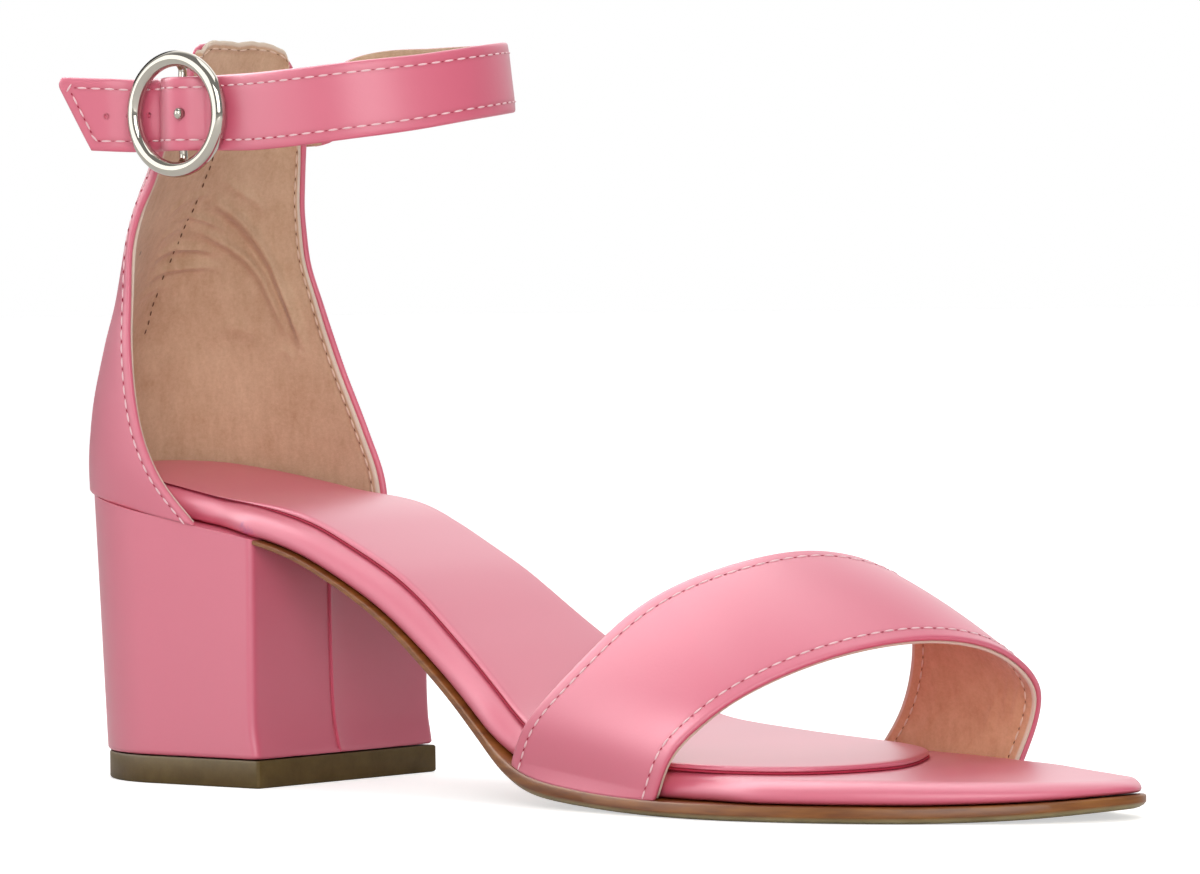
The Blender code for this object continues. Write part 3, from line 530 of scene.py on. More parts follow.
def makePanel(name, outer, normal, wall, material, replaced=(), edges=(), angle=60.0, rounds=4):
    # A piece of leather: its outer face, its wall behind it and a rounded edge all round
    rows, columns = outer.shape[:2]
    inner = outer - normal * wall
    loop = [(0, j) for j in range(columns)]
    loop += [(i, columns - 1) for i in range(1, rows)]
    loop += [(rows - 1, j) for j in range(columns - 2, -1, -1)]
    loop += [(i, 0) for i in range(rows - 2, 0, -1)]
    verts = [outer.reshape(-1, 3), inner.reshape(-1, 3)]
    count = rows * columns
    edge = np.zeros((rows, columns)) + 50.0
    if edges:
        edge = edgeDistance(outer, edges)
    numbers = [edge.reshape(-1), edge.reshape(-1)]
    rims = []
    for i, j in loop:
        away = np.zeros(3)
        if j == 0:
            away += unit(outer[i, 0] - outer[i, 1])
        if j == columns - 1:
            away += unit(outer[i, -1] - outer[i, -2])
        if i == 0:
            away += unit(outer[0, j] - outer[1, j])
        if i == rows - 1:
            away += unit(outer[-1, j] - outer[-2, j])
        away = unit(away)
        middle = 0.5 * (outer[i, j] + inner[i, j])
        rim = []
        for k in range(1, rounds):
            turn = math.pi * k / rounds
            rim.append(middle + 0.5 * wall * (math.cos(turn) * normal[i, j] + math.sin(turn) * away))
        rims.append(rim)
    rims = np.array(rims)
    verts.append(rims.reshape(-1, 3))
    numbers.append(np.zeros(rims.shape[0] * rims.shape[1]))
    faces = []
    for i in range(rows - 1):
        for j in range(columns - 1):
            a = i * columns + j
            faces.append((a, a + 1, a + columns + 1, a + columns))
            faces.append((a + count, a + columns + count, a + columns + 1 + count, a + 1 + count))
    steps = rounds - 1
    for n in range(len(loop)):
        m = (n + 1) % len(loop)
        one = loop[n][0] * columns + loop[n][1]
        two = loop[m][0] * columns + loop[m][1]
        first = [one] + [2 * count + n * steps + k for k in range(steps)] + [one + count]
        second = [two] + [2 * count + m * steps + k for k in range(steps)] + [two + count]
        for k in range(len(first) - 1):
            faces.append((first[k], first[k + 1], second[k + 1], second[k]))
    return makePiece(
        name, np.concatenate(verts), faces, material, replaced, angle,
        {"edgeMm": np.concatenate(numbers)},
    )


def ringLoft(rings, capEnds=(False, False), closed=False):
    # Faces between closed rings, one after another
    count = len(rings[0])
    verts = np.concatenate([np.array(ring) for ring in rings])
    faces = []
    spans = len(rings) if closed else len(rings) - 1
    for i in range(spans):
        base, nextBase = i * count, ((i + 1) % len(rings)) * count
        for k in range(count):
            m = (k + 1) % count
            faces.append((base + k, base + m, nextBase + m, nextBase + k))
    if capEnds[0]:
        faces.append(tuple(range(count))[::-1])
    if capEnds[1]:
        faces.append(tuple(range((len(rings) - 1) * count, len(rings) * count)))
    return verts, faces


# the last and the sole

def easeIn(t):
    t = np.clip(t, 0.0, 1.0)
    return t * t * (3.0 - 2.0 * t)


def placeAlong(share):
    return share * last["soleLength"] - last["seatBack"]


def shareAlong(x):
    return (x + last["seatBack"]) / last["soleLength"]


riseCurve = softened(curveThrough(soleProfile, 1), 0.009)
outsoleCurve = softened(curveThrough(soleLayers, 1), 0.02)
insoleCurve = softened(curveThrough(soleLayers, 2), 0.02)


def soleTop(x):
    return last["outsoleThickness"] + last["heelRise"] * np.maximum(riseCurve(shareAlong(x)), 0.0)


def upright(x):
    slope = (soleTop(x + 0.001) - soleTop(x - 0.001)) / 0.002
    return np.sqrt(1.0 + slope ** 2)


def soleBottom(x):
    return np.maximum(0.0, soleTop(x) - last["outsoleThickness"] * outsoleCurve(shareAlong(x)) * upright(x))


def insoleDepth(x):
    return last["insoleThickness"] * insoleCurve(shareAlong(x)) * upright(x)


def insoleTop(x):
    return soleTop(x) + last["fitGap"] + insoleDepth(x)


def seatOutline(x):
    left = np.clip((last["seatReach"] - (x + last["seatBack"])) / last["seatReach"], 0.0, 1.0)
    power = last["seatRoundness"]
    return last["seatHalf"] * (1.0 - left ** power) ** (1.0 / power)


def closedOutline(outer, inner, back, front):
    # The two halves of an outline from back to front, with their outward directions
    fine = 24
    ring = smoothPath([back, *outer, front, *inner[::-1]], fine, closed=True)
    ahead = unit(np.roll(ring, -1, axis=0) - np.roll(ring, 1, axis=0))
    full = np.concatenate([ring, np.stack([ahead[:, 1], -ahead[:, 0]], axis=1)], axis=1)
    middle = (len(outer) + 1) * fine
    return full[:middle + 1], np.concatenate([full[middle:], full[:1]])[::-1]


def soleHalves():
    outer, inner = [], []
    for share in (0.010, 0.032, 0.062, 0.105, 0.160):
        x = placeAlong(share)
        outer.append((x, -float(seatOutline(x))))
        inner.append((x, float(seatOutline(x))))
    for share, outHalf, inHalf in soleOutline:
        outer.append((placeAlong(share), -outHalf * last["ballHalf"]))
        inner.append((placeAlong(share), inHalf * last["ballHalf"]))
    front = (placeAlong(1.0) + last["toeEase"], last["toeShift"] * last["ballHalf"])
    return closedOutline(outer, inner, (placeAlong(0.0), 0.0), front)


def atX(half, x):
    top = int(np.argmax(half[:, 0])) + 1
    row = np.array([np.interp(x, half[:top, 0], half[:top, k]) for k in range(4)])
    row[2:] = unit(row[2:])
    return row


def sampleHalf(half, zone, counts, stations, cut=None):
    # Stations along the middle, and even points round the two ends
    low, high = (placeAlong(share) for share in zone)
    first = cut if cut is not None else low
    xs = np.linspace(first, high, stations + 1)
    body = [atX(half, x) for x in xs[1:-1]]
    top = int(np.argmax(half[:, 0])) + 1
    front = np.concatenate([[atX(half, high)], half[:top][half[:top, 0] > high + 1e-6], half[top:]])
    front = evenly(front, counts[1], columns=2)
    if cut is not None:
        return np.concatenate([[atX(half, cut)], body, front])
    back = np.concatenate([half[:top][half[:top, 0] < low - 1e-6], [atX(half, low)]])
    back = evenly(back, counts[0], columns=2)
    return np.concatenate([back, body, front])


def soleLayer(halves, look, profile, floor, depth, across, dish=0.0, cut=None, innerShare=1.0):
    # Rings of a layer: its profile holds the inset of the edge and the share of the depth
    outer, inner = (sampleHalf(half, look["zone"], look["ends"], look["stations"], cut) for half in halves)
    for end in (-1, 0) if cut is None else (-1,):
        outer[end, 2:] = inner[end, 2:] = unit(0.5 * (outer[end, 2:] + inner[end, 2:]))

    def edge(side, level):
        inset, share = profile[level]
        x, y, outX, outY = side
        inset *= 1.0 + (innerShare - 1.0) * easeIn((outY - 0.1) / 0.8)
        hold = min(max((abs(outY) - 0.5) / 0.25, 0.0), 1.0)
        if hold > 0.0:
            y -= hold * inset / outY
        x -= (1.0 - hold) * inset * outX
        y -= (1.0 - hold) * inset * outY
        return np.array((x, y, float(floor(x) + share * depth(x))))

    rings, shares = [], []
    for a, b in zip(outer, inner):
        def span(level, sag):
            one, two = edge(a, level), edge(b, level)
            t = np.linspace(0.0, 1.0, across + 1)[:, None]
            row = one + (two - one) * t
            row[:, 2] = floor(row[:, 0]) + profile[level][1] * depth(row[:, 0])
            wide = min(1.0, abs(two[1] - one[1]) / (2.0 * last["seatHalf"]))
            row[:, 2] -= sag * wide * (4.0 * t[:, 0] * (1.0 - t[:, 0])) ** 0.8
            return list(row)

        ring = span(0, 0.0)
        ring += [edge(b, level) for level in range(1, len(profile) - 1)]
        ring += span(len(profile) - 1, dish)[::-1]
        ring += [edge(a, level) for level in range(len(profile) - 2, 0, -1)]
        rings.append(ring)
        shares.append(
            [0.0] * (across + 1) + [profile[level][1] for level in range(1, len(profile) - 1)]
            + [1.0] * (across + 1) + [profile[level][1] for level in range(len(profile) - 2, 0, -1)]
        )
    return rings, np.array(shares)


def roundedProfile(foot, side, radius, steps=8):
    # An edge that stands up to the share side and then rounds over by the radius
    rows = list(foot)
    for k in range(steps + 1):
        turn = 0.5 * math.pi * k / steps
        rows.append((radius * (1.0 - math.cos(turn)), side + (1.0 - side) * math.sin(turn)))
    return rows


heelShape = {
    "length": 0.0537,
    "half": 0.0253,
    "rearEase": 0.0007,
    "lead": 0.0016,
    "corner": 0.0015,
    "topPiece": 0.0052,
    "seamAside": -0.0026,        # closing seam of the wrap on the breast
    "seamDrift": 0.0012,         # and how far it wanders towards the floor
    "seamDepth": 0.00030,
    "seamMm": 0.35,              # half width of its groove
    "lap": 0.00038,              # the outer flap of the wrap stands this much proud at the seam
    "lapMm": 2.2,                # and levels out over this width
    "hollow": 0.0006,            # breast hollowed between its corners
}

# zone is where stations run along the middle, as shares of the length, and ends are points at its two ends
outsoleLook = {"bevel": 0.0022, "zone": (0.10, 0.88), "ends": (26, 30), "stations": 130}


def makeOutsole():
    bevel = outsoleLook["bevel"]
    profile = [
        (bevel, 0.0), (0.55 * bevel, 0.07), (0.2 * bevel, 0.22), (0.0, 0.42),
        (0.0, 0.86), (0.0002, 0.97), (0.0005, 1.0),
    ]
    breast = heelShape["length"] / 2 - heelShape["lead"] + last["fitGap"]
    rings, shares = soleLayer(
        soleHalves(), outsoleLook, profile, soleBottom, lambda x: soleTop(x) - soleBottom(x), 6, cut=breast,
    )
    verts, faces = ringLoft(rings, (True, False))
    bare = np.clip((shareAlong(verts[:, 0]) - 0.46) / 0.10, 0.0, 1.0)    # the waist is painted underneath too
    under = bare * np.clip((0.40 - shares.reshape(-1)) / 0.12, 0.0, 1.0)
    makePiece(
        "outsoleUnit", verts, faces, finishes["soleEdge"], ["outsole"], 35.0, {"under": under},
    )


insoleLook = {
    "zone": (0.10, 0.88),
    "ends": (30, 34),
    "stations": 150,
    "round": 0.0042,
    "innerShare": 0.30,
    "inset": 0.0008,
    "counterTuck": 0.0040,       # how far the edge stands in beside the counter and the band
    "bandTuck": 0.0029,
    "bandSpans": ((0.528, 0.722), (0.655, 0.830)),    # where the band is, on the outer and the inner side
}


def insoleHalves():
    result = []
    look = insoleLook
    for half, (bandRear, bandFront) in zip(soleHalves(), look["bandSpans"]):
        moved = half.copy()
        for row in moved:
            share = shareAlong(row[0])
            atCounter = easeIn((0.228 - share) / 0.050)
            atBand = min(easeIn((share - bandRear) / 0.050 + 1.0), easeIn((bandFront - share) / 0.060 + 1.0))
            inset = look["inset"]
            inset += (look["counterTuck"] - look["inset"]) * atCounter
            inset += (look["bandTuck"] - look["inset"]) * atBand
            row[:2] -= row[2:] * inset
        result.append(moved)
    return result


def makeInsole():
    profile = roundedProfile([(0.0011, 0.0), (0.0004, 0.08), (0.0001, 0.18)], 0.28, insoleLook["round"], 12)
    rings, _ = soleLayer(
        insoleHalves(), insoleLook, profile,
        lambda x: soleTop(x) + last["fitGap"], insoleDepth, 16, innerShare=insoleLook["innerShare"],
    )
    verts, faces = ringLoft(rings)
    makePiece("footbed", verts, faces, finishes["insole"], ["insole"], 50.0)


# share of the length and of ballHalf, for the outer side and then for the inner side
padOutline = [
    (0.045, 0.340, 0.045, 0.340), (0.080, 0.480, 0.080, 0.480), (0.150, 0.540, 0.150, 0.540),
    (0.225, 0.550, 0.225, 0.530), (0.315, 0.540, 0.300, 0.450), (0.395, 0.545, 0.380, 0.440),
    (0.475, 0.625, 0.450, 0.510), (0.550, 0.740, 0.520, 0.680), (0.630, 0.835, 0.590, 0.810),
    (0.700, 0.860, 0.650, 0.860), (0.755, 0.790, 0.710, 0.800), (0.790, 0.620, 0.750, 0.640),
    (0.806, 0.400, 0.782, 0.350),
]
padLook = {
    "zone": (0.10, 0.72),
    "ends": (26, 30),
    "stations": 120,
    "back": 0.030,
    "front": 0.811,
    "frontShift": -0.200,
    "fullness": 0.0004,
    "fill": 0.7,
    "fadeFrom": 0.17,            # the sock lies flush in the seat and stands up from here on
    "fadeTo": 0.27,
}


def padHalves():
    outer = [(placeAlong(row[0]), -row[1] * last["ballHalf"]) for row in padOutline]
    inner = [(placeAlong(row[2]), row[3] * last["ballHalf"]) for row in padOutline]
    front = (placeAlong(padLook["front"]), padLook["frontShift"] * last["ballHalf"])
    return closedOutline(outer, inner, (placeAlong(padLook["back"]), 0.0), front)


def padDepth(x):
    rise = easeIn((shareAlong(x) - padLook["fadeFrom"]) / (padLook["fadeTo"] - padLook["fadeFrom"]))
    return last["padThickness"] * upright(x) * (0.12 + 0.88 * rise)


def makePad():
    # The padded sock stands on a thin edge of its own, deep red: the dyed cut edge, darkened further as
    # painted shade of the crevice under the sock
    halves = padHalves()
    profile = roundedProfile([(0.0003, 0.30), (0.0, 0.40)], 0.55, 0.0011, 6)
    rings, _ = soleLayer(
        halves, padLook, profile, lambda x: insoleTop(x) + 0.0001, padDepth, 14, dish=-padLook["fullness"],
    )
    verts, faces = ringLoft(rings)
    pad = makePiece("sockPad", verts, faces, finishes["pad"], ["sock_pad"], 60.0)
    profile = [(0.0003, 0.0), (-0.0001, 0.10), (-0.0001, 0.30), (0.0004, 0.42)]
    rings, _ = soleLayer(halves, padLook, profile, lambda x: insoleTop(x) + 0.00002, padDepth, 2)
    verts, faces = ringLoft(rings)
    makePiece("sockEdge", verts, faces, finishes["padEdge"], (), 60.0)


# the heel

def blockRing(rear, mid, halfFront, front, corner, seam=0.0, drift=0.0):
    # Outline of the heel from the middle of its rear round its outer side, breast and inner side
    side = []
    for k in range(37):
        turn = 0.5 * math.pi * k / 36
        side.append((rear + mid * (1.0 - math.cos(turn)), mid * math.sin(turn)))
    start = rear + mid
    for k in range(1, 16):
        t = k / 16
        side.append((start + (front - corner - start) * t, mid + (halfFront - mid) * t))
    for k in range(13):
        turn = 0.5 * math.pi * k / 12
        side.append((front - corner + corner * math.sin(turn), halfFront - corner + corner * math.cos(turn)))
    width = halfFront - corner
    lap = heelShape["seamAside"] + drift
    # close points beside the seam, in mm
    near = [-1.4, -0.9, -0.55, -0.35, -0.2, -0.1, -0.02, 0.03, 0.10, 0.2, 0.4, 0.7, 1.1, 1.8]
    near = lap + 0.001 * np.array(near)
    breast = np.concatenate([
        np.linspace(-width, near[0], 26)[1:-1], near, np.linspace(near[-1], width, 30)[1:-1],
    ])
    across = []
    for y in breast:
        x = front - seam * heelShape["hollow"] * (1.0 - (y / width) ** 2)
        aside = (y - lap) * 1000.0
        if aside < 0.0:
            x -= seam * heelShape["seamDepth"] * math.exp(-(aside / heelShape["seamMm"]) ** 2)
        elif aside > 0.0:
            x += seam * heelShape["lap"] * math.exp(-aside / heelShape["lapMm"])
        across.append((x, y))
    return [(x, -y) for x, y in side] + across + side[::-1][:-1]


def cappedStack(rings):
    # Rings one above another with rungs between their two sides below and above
    verts, faces = ringLoft(rings)
    count = len(rings[0])
    for base in (0, (len(rings) - 1) * count):
        for k in range(count // 2):
            rung = (base + k, base + k + 1, base + count - 1 - k, base + (count - k) % count)
            kept = tuple(dict.fromkeys(rung))
            if len(kept) > 2:
                faces.append(kept)
    return verts, faces


def makeHeelBlock():
    shape = heelShape
    flare = curveThrough([(0.0, 1.0), (0.05, 0.72), (0.14, 0.18), (0.30, 0.0), (1.0, 0.0)], 1)
    foot = shape["topPiece"] + last["fitGap"]
    rearLow = -shape["length"] / 2 - 0.6 * shape["rearEase"]
    rearHigh = placeAlong(0.0) + 0.0004 - shape["rearEase"]
    rings = []
    for share in [0.0, 0.004, 0.010, 0.02, 0.035, *np.linspace(0.05, 1.0, 40)]:
        rear = rearLow + (rearHigh - rearLow) * share
        mid = shape["half"] + (last["seatHalf"] - 0.0003 - shape["half"]) * share
        front = shape["length"] / 2 - shape["lead"] * (1.0 - 0.7 * float(flare(share)))
        tuck = 0.0004 * max(0.0, 1.0 - share / 0.012) ** 2
        outline = blockRing(
            rear + tuck, mid - tuck, shape["half"] - 0.0002 * share - tuck, front - tuck, shape["corner"],
            1.0 if share > 0.02 else share / 0.02, shape["seamDrift"] * (1.0 - share) ** 3,
        )
        rings.append([(x, y, foot + (float(soleTop(x)) - foot) * share) for x, y in outline])
    verts, faces = cappedStack(rings)
    makePiece("heelBlock", verts, faces, finishes["upper"], ["heel_block"], 50.0)


def makeTopPiece():
    shape = heelShape
    half = shape["length"] / 2
    rings = []
    for inset, z in (
        (0.0005, 0.0), (0.0002, 0.0001), (0.0, 0.0004), (0.0, 0.0028), (0.0, 0.0049), (0.0002, 0.0052),
    ):
        side = shape["half"] - inset
        outline = blockRing(inset - half, side, side, half - inset, 0.5 * shape["corner"])
        rings.append([(x, y, z) for x, y in outline])
    verts, faces = cappedStack(rings)
    makePiece("topPiece", verts, faces, finishes["heelRubber"], ["heel_top_piece"], 40.0)


makeOutsole()
makeInsole()
makePad()
makeHeelBlock()
makeTopPiece()
print("sole, footbed, sock and heel made")


# the counter

# height share, rear share of lean, outer and inner front as shares of seatReach,
# half width as a share of seatHalf, exponent of the section
counterSections = [
    (0.00, 0.00, 1.010, 1.085, 1.000, 2.80), (0.07, -0.02, 0.805, 1.065, 1.010, 2.35),
    (0.18, -0.02, 0.655, 0.960, 0.995, 1.95), (0.32, 0.03, 0.580, 0.820, 0.955, 1.60),
    (0.44, 0.15, 0.540, 0.745, 0.890, 1.45), (0.56, 0.33, 0.530, 0.670, 0.855, 1.45),
    (0.66, 0.52, 0.575, 0.665, 0.825, 1.55), (0.74, 0.66, 0.655, 0.685, 0.800, 1.70),
    (0.84, 0.80, 0.715, 0.720, 0.765, 1.90), (0.93, 0.92, 0.770, 0.780, 0.680, 2.10),
    (1.00, 1.00, 0.800, 0.810, 0.560, 2.30),
]
counterLook = {
    "top": 0.142,
    "lean": 0.030,
    "corner": 0.11,
    "rearEase": 0.0005,
    "leather": 0.0011,
    "lining": 0.0008,
    "liningInset": 0.0007,
    "topStep": 0.0010,           # the lining's raw edge stands this much above the leather
    "topWave": 0.00012,
    "creaseGain": 2.3,
    "creaseWidth": 0.72,
}
counterCurves = [softened(curveThrough(counterSections, k), 0.018) for k in range(1, 6)]


def counterPoint(level, turn):
    # Outer face: level from the seat up, turn from the outer front edge round to the inner one
    rear = counterCurves[0](level) * counterLook["lean"] - last["seatBack"]
    rising, falling = np.clip(level / 0.1, 0.0, 1.0), np.clip((0.65 - level) / 0.2, 0.0, 1.0)
    rear = rear - counterLook["rearEase"] * rising * falling
    outerFront = counterCurves[1](level) * last["seatReach"] - last["seatBack"]
    innerFront = counterCurves[2](level) * last["seatReach"] - last["seatBack"]
    half = counterCurves[3](level) * last["seatHalf"]
    power = 2.0 / counterCurves[4](level)
    angle = math.pi * (turn - 0.5)
    front = np.where(turn < 0.5, outerFront, innerFront)
    x = front - (front - rear) * np.maximum(np.cos(angle), 0.0) ** power
    y = half * np.copysign(np.abs(np.sin(angle)) ** power, angle)
    low = soleTop(x) + last["fitGap"]
    squareness = np.where(turn < 0.5, 5.0, 3.0)    # the corner under the buckle is squarer
    fall = counterLook["corner"] * np.abs(2.0 * turn - 1.0) ** squareness * level ** 3.0
    return np.stack([x, y, low + (counterLook["top"] - low) * (level - fall)], axis=-1)


def counterGrid(rows, columns):
    levels, turns = np.meshgrid(
        np.linspace(0.0, 1.0, rows), np.linspace(0.0, 1.0, columns * 3), indexing="ij",
    )
    grid = eased(counterPoint(levels, turns), 60, axis=1)
    return insetGrid(grid, 0.0, 0.0, 0.0, 0.0, rows, columns)


# creases of the lining as rows of (turn, level), with their height and width in mm
liningCreases = [
    (0.82, 1.5, [(0.575, 0.638), (0.695, 0.606), (0.770, 0.575), (0.830, 0.538), (0.865, 0.488),
                 (0.890, 0.444), (0.905, 0.406), (0.900, 0.356)]),
    (-0.32, 1.9, [(0.575, 0.618), (0.690, 0.586), (0.755, 0.552), (0.812, 0.515), (0.845, 0.465),
                  (0.868, 0.420), (0.880, 0.380)]),
    (0.56, 1.3, [(0.530, 0.569), (0.620, 0.552), (0.705, 0.531), (0.780, 0.500), (0.830, 0.450),
                 (0.870, 0.375)]),
    (0.46, 1.1, [(0.420, 0.450), (0.500, 0.470), (0.595, 0.481), (0.675, 0.481)]),
    (0.42, 1.0, [(0.400, 0.500), (0.470, 0.520), (0.560, 0.523), (0.650, 0.512)]),
    (0.42, 1.0, [(0.430, 0.600), (0.520, 0.600), (0.610, 0.585), (0.680, 0.565)]),
    (-0.20, 1.4, [(0.400, 0.475), (0.480, 0.495), (0.580, 0.502), (0.660, 0.497)]),
    (0.38, 1.2, [(0.440, 0.640), (0.500, 0.655), (0.560, 0.660)]),
    (0.22, 1.4, [(0.380, 0.400), (0.450, 0.420), (0.540, 0.430)]),
    (0.20, 2.4, [(0.640, 0.330), (0.720, 0.360), (0.800, 0.350)]),
    (-0.08, 0.9, [(0.497, 0.760), (0.492, 0.640), (0.484, 0.500), (0.472, 0.300)]),
    (0.34, 1.1, [(0.380, 0.545), (0.430, 0.568), (0.480, 0.572)]),
    (0.30, 1.0, [(0.360, 0.610), (0.410, 0.640), (0.465, 0.650)]),
    (0.36, 1.2, [(0.600, 0.690), (0.680, 0.668), (0.760, 0.655), (0.830, 0.640)]),
    (0.28, 1.3, [(0.800, 0.300), (0.850, 0.340), (0.870, 0.300)]),
]
# where the lining is joined, down the back
liningSeam = [(0.502, 0.760), (0.497, 0.640), (0.488, 0.500), (0.474, 0.320)]
plyGap = 0.00005                 # air between a leather and its lining


def pressCreases(grid, normal, creases, locate, gain=1.0, wide=1.0):
    # Raises or sinks a face along given lines, each with a soft bell across it
    shift = np.zeros(grid.shape[:2])
    for height, width, rows in creases:
        line = locate(smoothPath(rows, 10))
        gap = np.full(grid.shape[:2], 1.0)
        for i in range(len(line) - 1):
            a, b = line[i], line[i + 1]
            along = b - a
            t = np.clip(np.einsum("ijk,k->ij", grid - a, along) / max(along @ along, 1e-12), 0.0, 1.0)
            gap = np.minimum(gap, np.linalg.norm(grid - (a + t[..., None] * along), axis=2))
        ends = np.minimum(np.linalg.norm(grid - line[0], axis=2), np.linalg.norm(grid - line[-1], axis=2))
        fade = np.clip(ends / 0.006, 0.0, 1.0) ** 0.7
        shift += 0.001 * gain * height * np.exp(-(gap * 1000.0 / (wide * width)) ** 2) * fade
    return grid + normal * shift[..., None]


def makeCounter():
    look = counterLook
    full = counterGrid(110, 121)
    heart = np.array((0.0, 0.0, 0.09))
    # the leather ends lower than the lining, except at the corner beside the buckle
    turns = np.linspace(0.0, 1.0, full.shape[1])
    cut = look["topStep"] * np.clip((turns - 0.12) / 0.15, 0.0, 1.0)
    outer = full.copy()
    for j in range(full.shape[1]):
        outer[:, j] = respaced(full[:, j], 0.0, cut[j], full.shape[0])
    normal = gridNormals(outer, outer - heart)
    fullNormal = gridNormals(full, full - heart)
    makePanel(
        "counterLeather", outer, normal, look["leather"], finishes["counter"], ["counter"],
        allRound,
    )
    inset = look["liningInset"]
    face = full - fullNormal * (look["leather"] + plyGap)
    face = insetGrid(face, inset, inset, 0.0003, 0.0001, 210, 200)
    face = eased(eased(face, 10, axis=1), 2, axis=0)
    along = np.linspace(0.0, 1.0, face.shape[1])
    wave = np.sin(24.0 * along) + 0.6 * np.sin(47.0 * along + 1.0) + 0.25 * np.sin(90.0 * along)
    wave = look["topWave"] * wave
    rise = np.clip((np.linspace(0.0, 1.0, face.shape[0]) - 0.93) / 0.07, 0.0, 1.0) ** 2
    face[..., 2] += rise[:, None] * wave[None, :]
    facing = gridNormals(face, heart - face)
    inner = face + facing * look["lining"]

    def locate(rows):
        level = rows[:, 1] * (face.shape[0] - 1)
        turn = rows[:, 0] * (face.shape[1] - 1)
        points = []
        for l, t in zip(level, turn):
            points.append(inner[int(round(min(l, face.shape[0] - 1))), int(round(min(t, face.shape[1] - 1)))])
        return eased(np.array(points), 4)

    seam = locate(smoothPath(liningSeam, 30))
    inner = pressCreases(inner, facing, liningCreases, locate, look["creaseGain"], look["creaseWidth"])
    makePanel(
        "counterLining", inner, facing, look["lining"], finishes["counterLining"], (),
        allRound,
    )
    return outer, normal, inner, facing, seam


counterOuter, counterNormal, counterInner, counterFacing, liningSeamLine = makeCounter()
print("counter made")


# the vamp band

# share of the way over, then along, out and up for the rear edge and for the front edge
bandEdges = [
    (0.00, 0.523, -0.840, 0.000, 0.682, -0.985, 0.000), (0.12, 0.545, -0.900, 0.315, 0.699, -1.005, 0.240),
    (0.25, 0.587, -0.863, 0.533, 0.717, -0.850, 0.385), (0.38, 0.631, -0.630, 0.800, 0.753, -0.644, 0.532),
    (0.50, 0.682, -0.274, 0.957, 0.798, -0.300, 0.650), (0.62, 0.716, 0.137, 0.992, 0.827, 0.110, 0.677),
    (0.75, 0.740, 0.475, 0.895, 0.838, 0.505, 0.616), (0.85, 0.729, 0.750, 0.700, 0.838, 0.790, 0.488),
    (0.93, 0.698, 0.940, 0.360, 0.826, 0.905, 0.315), (1.00, 0.655, 0.990, 0.000, 0.809, 0.855, 0.000),
]
bandLook = {"top": 0.046, "crown": 0.0009, "leather": 0.00105, "lining": 0.0007, "liningInset": 0.0001}

# folds of the band's lining near the toe on the inner side, as (across, over) with height and width in mm
bandCreases = [
    (0.30, 0.9, [(0.90, 0.80), (0.86, 0.86), (0.88, 0.92)]),
    (0.26, 0.8, [(0.80, 0.79), (0.78, 0.85), (0.80, 0.90)]),
    (0.22, 0.9, [(0.70, 0.82), (0.68, 0.87), (0.70, 0.93)]),
    (0.25, 1.0, [(0.20, 0.82), (0.24, 0.88), (0.20, 0.94)]),
]


def bandGrid(rows, columns):
    outerHalf, innerHalf = soleHalves()
    points = []
    for turn, *edges in bandEdges:
        row = []
        for along, out, up in (edges[:3], edges[3:]):
            x = placeAlong(along)
            y = out * last["ballHalf"]
            if turn in (0.0, 1.0):
                y = atX(outerHalf if turn == 0.0 else innerHalf, x)[1]
                y -= math.copysign(0.0002, y)
            z = float(soleTop(x)) + last["fitGap"] if up == 0.0 else up * bandLook["top"]
            row += [x, y, z]
        points.append(row)
    path = evenly(smoothPath(points, 24), rows - 1)
    path = eased(path, 30)
    t = np.linspace(0.0, 1.0, columns)[None, :, None]
    grid = path[:, None, :3] * (1.0 - t) + path[:, None, 3:] * t
    feet = np.clip((path[:, 2] - soleTop(path[:, 0])) / (0.5 * bandLook["top"]), 0.0, 1.0)
    for end, half in ((0, outerHalf), (-1, innerHalf)):
        for j in range(columns):
            x = grid[end, j, 0]
            grid[end, j, 2] = soleTop(x) + last["fitGap"]
            side = atX(half, x)[1]
            grid[end, j, 1] = side - math.copysign(0.0002, side)
    away = np.stack([
        np.full(grid.shape[:2], 0.35), grid[..., 1] / last["ballHalf"],
        np.maximum(0.2, grid[..., 2] / bandLook["top"]),
    ], axis=-1)
    swell = bandLook["crown"] * 4.0 * t[..., 0] * (1.0 - t[..., 0]) * feet[:, None]
    return grid + unit(away) * swell[..., None]


def makeBand():
    look = bandLook
    outer = bandGrid(170, 61)
    heart = np.array((0.125, 0.0, 0.005))
    normal = gridNormals(outer, outer - heart)
    makePanel(
        "bandLeather", outer, normal, look["leather"], finishes["band"], ["vamp_band"], twoSides,
    )
    inset = look["liningInset"]
    face = insetGrid(outer - normal * (look["leather"] + plyGap), inset, inset, 0.0002, 0.0002, 200, 110)
    facing = gridNormals(face, heart - face)
    inner = face + facing * look["lining"]

    def locate(rows):
        return np.array([
            inner[int(round(over * (inner.shape[0] - 1))), int(round(across * (inner.shape[1] - 1)))]
            for across, over in rows
        ])

    inner = pressCreases(inner, facing, bandCreases, locate)
    makePanel("bandLining", inner, facing, look["lining"], finishes["bandLining"], (), twoSides)
    return outer, normal, inner, facing


bandOuter, bandNormal, bandInner, bandFacing = makeBand()
print("vamp band made")


# the ankle strap and the short strap of the buckle

